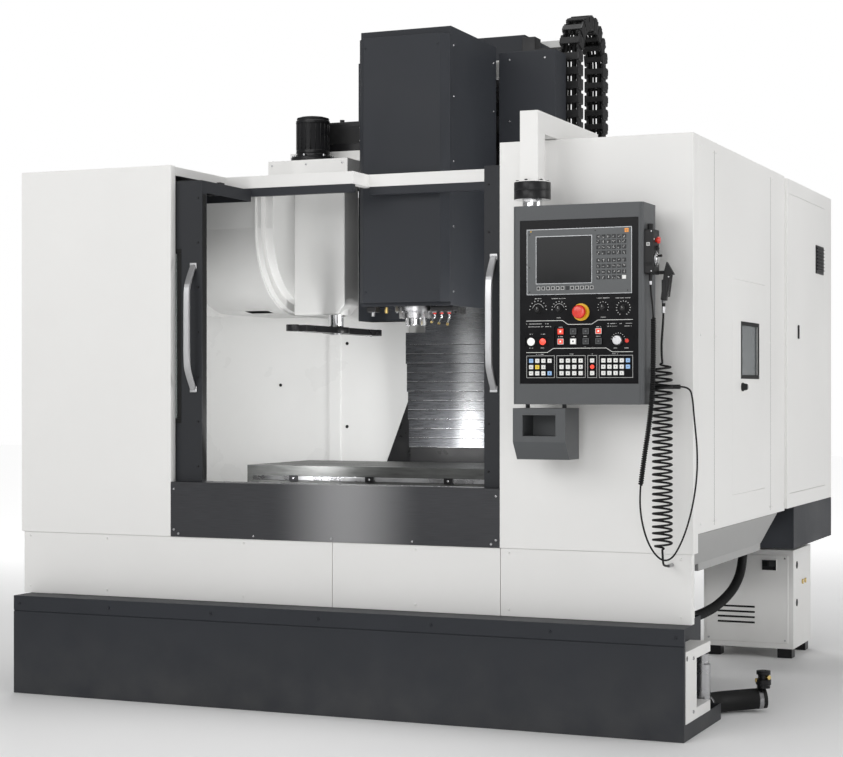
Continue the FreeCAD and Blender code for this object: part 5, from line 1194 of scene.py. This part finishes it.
# shroud over the changer's lower housing, in the cover's grey with its painted shade
shroud = Piece("changer_shroud")
shroud.prism([(-0.566, 2.204), (-0.316, 2.204), (-0.316, 1.655), (-0.350, 1.612), (-0.566, 1.612)], "xz",
             0.783, 0.930,
             DRUM_GREY_AND_SHADE, 0.005)
shroud.done("machine", "white")
case = Piece("changer_case_screws")
for x in (-0.68, -0.51, -0.33):
    case.screw((x, 0.7898, 2.285), (0, -1, 0), 0.005)
for x in (-0.685, -0.320):
    for y in (0.81, 0.99):
        case.screw((x, y, 2.3052), (0, 0, 1), 0.006)
case.box((-0.793, 0.385, 2.118), (-0.719, 0.425, 2.173), BLACK, 0.004)
case.rod((-0.756, 0.386, 2.145), (-0.756, 0.383, 2.145), 0.010, STEEL, 20)
case.done("machine", "white")
gripper = Piece("exchange_arm_details")
low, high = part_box("exchange_arm")
middle_y = (low.y + high.y) / 2
for y in (low.y + 0.06, low.y + 0.11, high.y - 0.11, high.y - 0.06):
    gripper.screw((-0.39, y, low.z + 0.0002), (0, 0, -1), 0.0055)
gripper.turned((-0.39, middle_y, low.z + 0.0004), (0, 0, -1),
               [(0.030, 0), (0.030, 0.004), (0.026, 0.006), (0, 0.006)], STEEL, 36)
gripper.done("exchange_arm", "black")

# ---------------------------------------------------------------- handles, drawn with their real curved bends
for side in ("left", "right"):
    low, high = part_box(side + "_handle")
    near, far = high.y, low.y
    half = 0.006
    line = spline_points([(0, near, low.z + 0.009), (0, far + 0.016, low.z + 0.078),
                          (0, far + half, low.z + 0.125),
                          (0, far + half, (low.z + high.z) / 2), (0, far + half, high.z - 0.125),
                          (0, far + 0.016, high.z - 0.078), (0, near, high.z - 0.009)], 10)
    line = along(line, 0.012)
    front, rear = [], []
    for k, point in enumerate(line):
        ahead = (line[min(k + 1, len(line) - 1)] - line[max(k - 1, 0)]).normalized()
        across_bar = Vector((0, -ahead.z, ahead.y))
        for outline, sign in ((front, 1), (rear, -1)):
            edge = point + across_bar * half * sign
            outline.append((min(edge.y, near), edge.z))
    bar = Piece(side + "_handle_bar")
    shape = bmesh.new()
    rows = []
    for (fy, fz), (ry, rz) in zip(front, rear):
        corners = [shape.verts.new((x, fy + (ry - fy) * share, fz + (rz - fz) * share))
                   for x, share in ((low.x + 0.003, 0), (high.x - 0.003, 0), (high.x, 0.25), (high.x, 0.75),
                                    (high.x - 0.003, 1), (low.x + 0.003, 1), (low.x, 0.75), (low.x, 0.25))]
        rows.append(corners)
    for first, second in zip(rows, rows[1:]):
        for k in range(8):
            shape.faces.new((first[k], first[(k + 1) % 8], second[(k + 1) % 8], second[k]))
    shape.faces.new(rows[0][::-1])
    shape.faces.new(rows[-1])
    bmesh.ops.recalc_face_normals(shape, faces=shape.faces[:])
    bar.add(shape, BRIGHT)
    bar.done(side + "_door", "bright", (side + "_handle",))

# ---------------------------------------------------------------- liner, table and column
liner = Piece("liner_details")
liner.box((-0.660, 1.4440, 0.97), (-0.648, 1.4502, 2.02), LINER, 0.002)
liner.box((0.556, 1.4440, 0.97), (0.568, 1.4502, 2.02), LINER, 0.002)
for x, z in ((-0.69, 1.10), (-0.69, 1.50), (-0.62, 1.10), (-0.62, 1.50), (0.60, 1.10), (0.60, 1.50),
             (-0.98, 1.30), (0.98, 1.30)):
    liner.turned((x, 1.4500, z), (0, -1, 0), [(0.0078, 0), (0.0078, 0.002), (0.005, 0.0034), (0, 0.0036)],
                 RUBBER, 20)
liner.done("machine", "white")

low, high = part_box("table")
stops = Piece("table_details")
stops.box((low.x + 0.03, low.y - 0.0040, low.z + 0.012), (high.x - 0.03, low.y + 0.0002, low.z + 0.030),
          STEEL, 0.001)
for x in (-0.42, -0.06, 0.30):
    stops.box((x - 0.020, low.y - 0.0120, low.z + 0.008), (x + 0.020, low.y - 0.0038, low.z + 0.034), BLACK,
              0.002)
    stops.screw((x, low.y - 0.0119, low.z + 0.021), (0, -1, 0), 0.005)
for y in (low.y + 0.03, high.y - 0.03):
    for x in (low.x, high.x):
        outward = -1 if x == low.x else 1
        stops.screw((x, y, high.z - 0.030), (outward, 0, 0), 0.006)
stops.done("table", "table_iron")

# painted shadow: a black strip under each slat's lower edge, with a thin steel strip along the lip above it
for number in range(1, 5):
    seams = Piece(f"way_cover_{number}_edges")
    face = 1.340 + 0.008 * (4 - number)
    half = 0.264 - 0.0023 * (4 - number) - 0.001
    for slat in range(3):
        foot = 1.021 + (3 * (number - 1) + slat) * 0.0436 - 0.015
        seams.box((-half, face - 0.0018, foot), (half, face + 0.0002, foot + 0.0030), BLACK, 0.0003)
        seams.box((-half, face - 0.0014, foot + 0.0030), (half, face + 0.0002, foot + 0.0042), STEEL, 0.0002)
    seams.done("head" if number == 4 else f"way_cover_{number}", "cover_steel")

mast = Piece("column_details")
for x in (-0.2352, 0.2352):
    for z in (2.83, 2.93):
        for y in (1.63, 1.97):
            mast.screw((x, y, z), (1 if x > 0 else -1, 0, 0), 0.005)
for side in (1, -1):
    for z in (1.70, 2.10, 2.50, 2.78):
        mast.screw((side * 0.44, 1.2998, z), (0, -1, 0), 0.0048)
        mast.screw((side * 0.27, 1.2998, z), (0, -1, 0), 0.0048)
mast.box((0.300, 1.560, 2.862), (0.4395, 1.640, 2.872), BLACK, 0.001)
mast.box((0.2352, 1.560, 2.862), (0.3002, 1.640, 2.930), BLACK, 0.002)
for x, y in ((-0.15, 1.72), (0.15, 1.72), (0.0, 1.90)):
    mast.turned((x, y, 2.9498), (0, 0, 1), [(0.0, 0.014), (0.010, 0.014), (0.014, 0.010), (0.014, 0)], STEEL,
                20)
for z in (0.95, 1.30, 1.65, 2.00, 2.35, 2.70):
    mast.box((-0.26, 2.0499, z), (0.26, 2.0535, z + 0.30), CASTING, 0.003)
mast.done("machine", "graphite")


# ---------------------------------------------------------------- floor and final update
floor = Piece("studio_floor").box((-30, -30, -0.02), (30, 30, -0.0005), FLOOR, 0).linked()

bpy.context.view_layer.update()
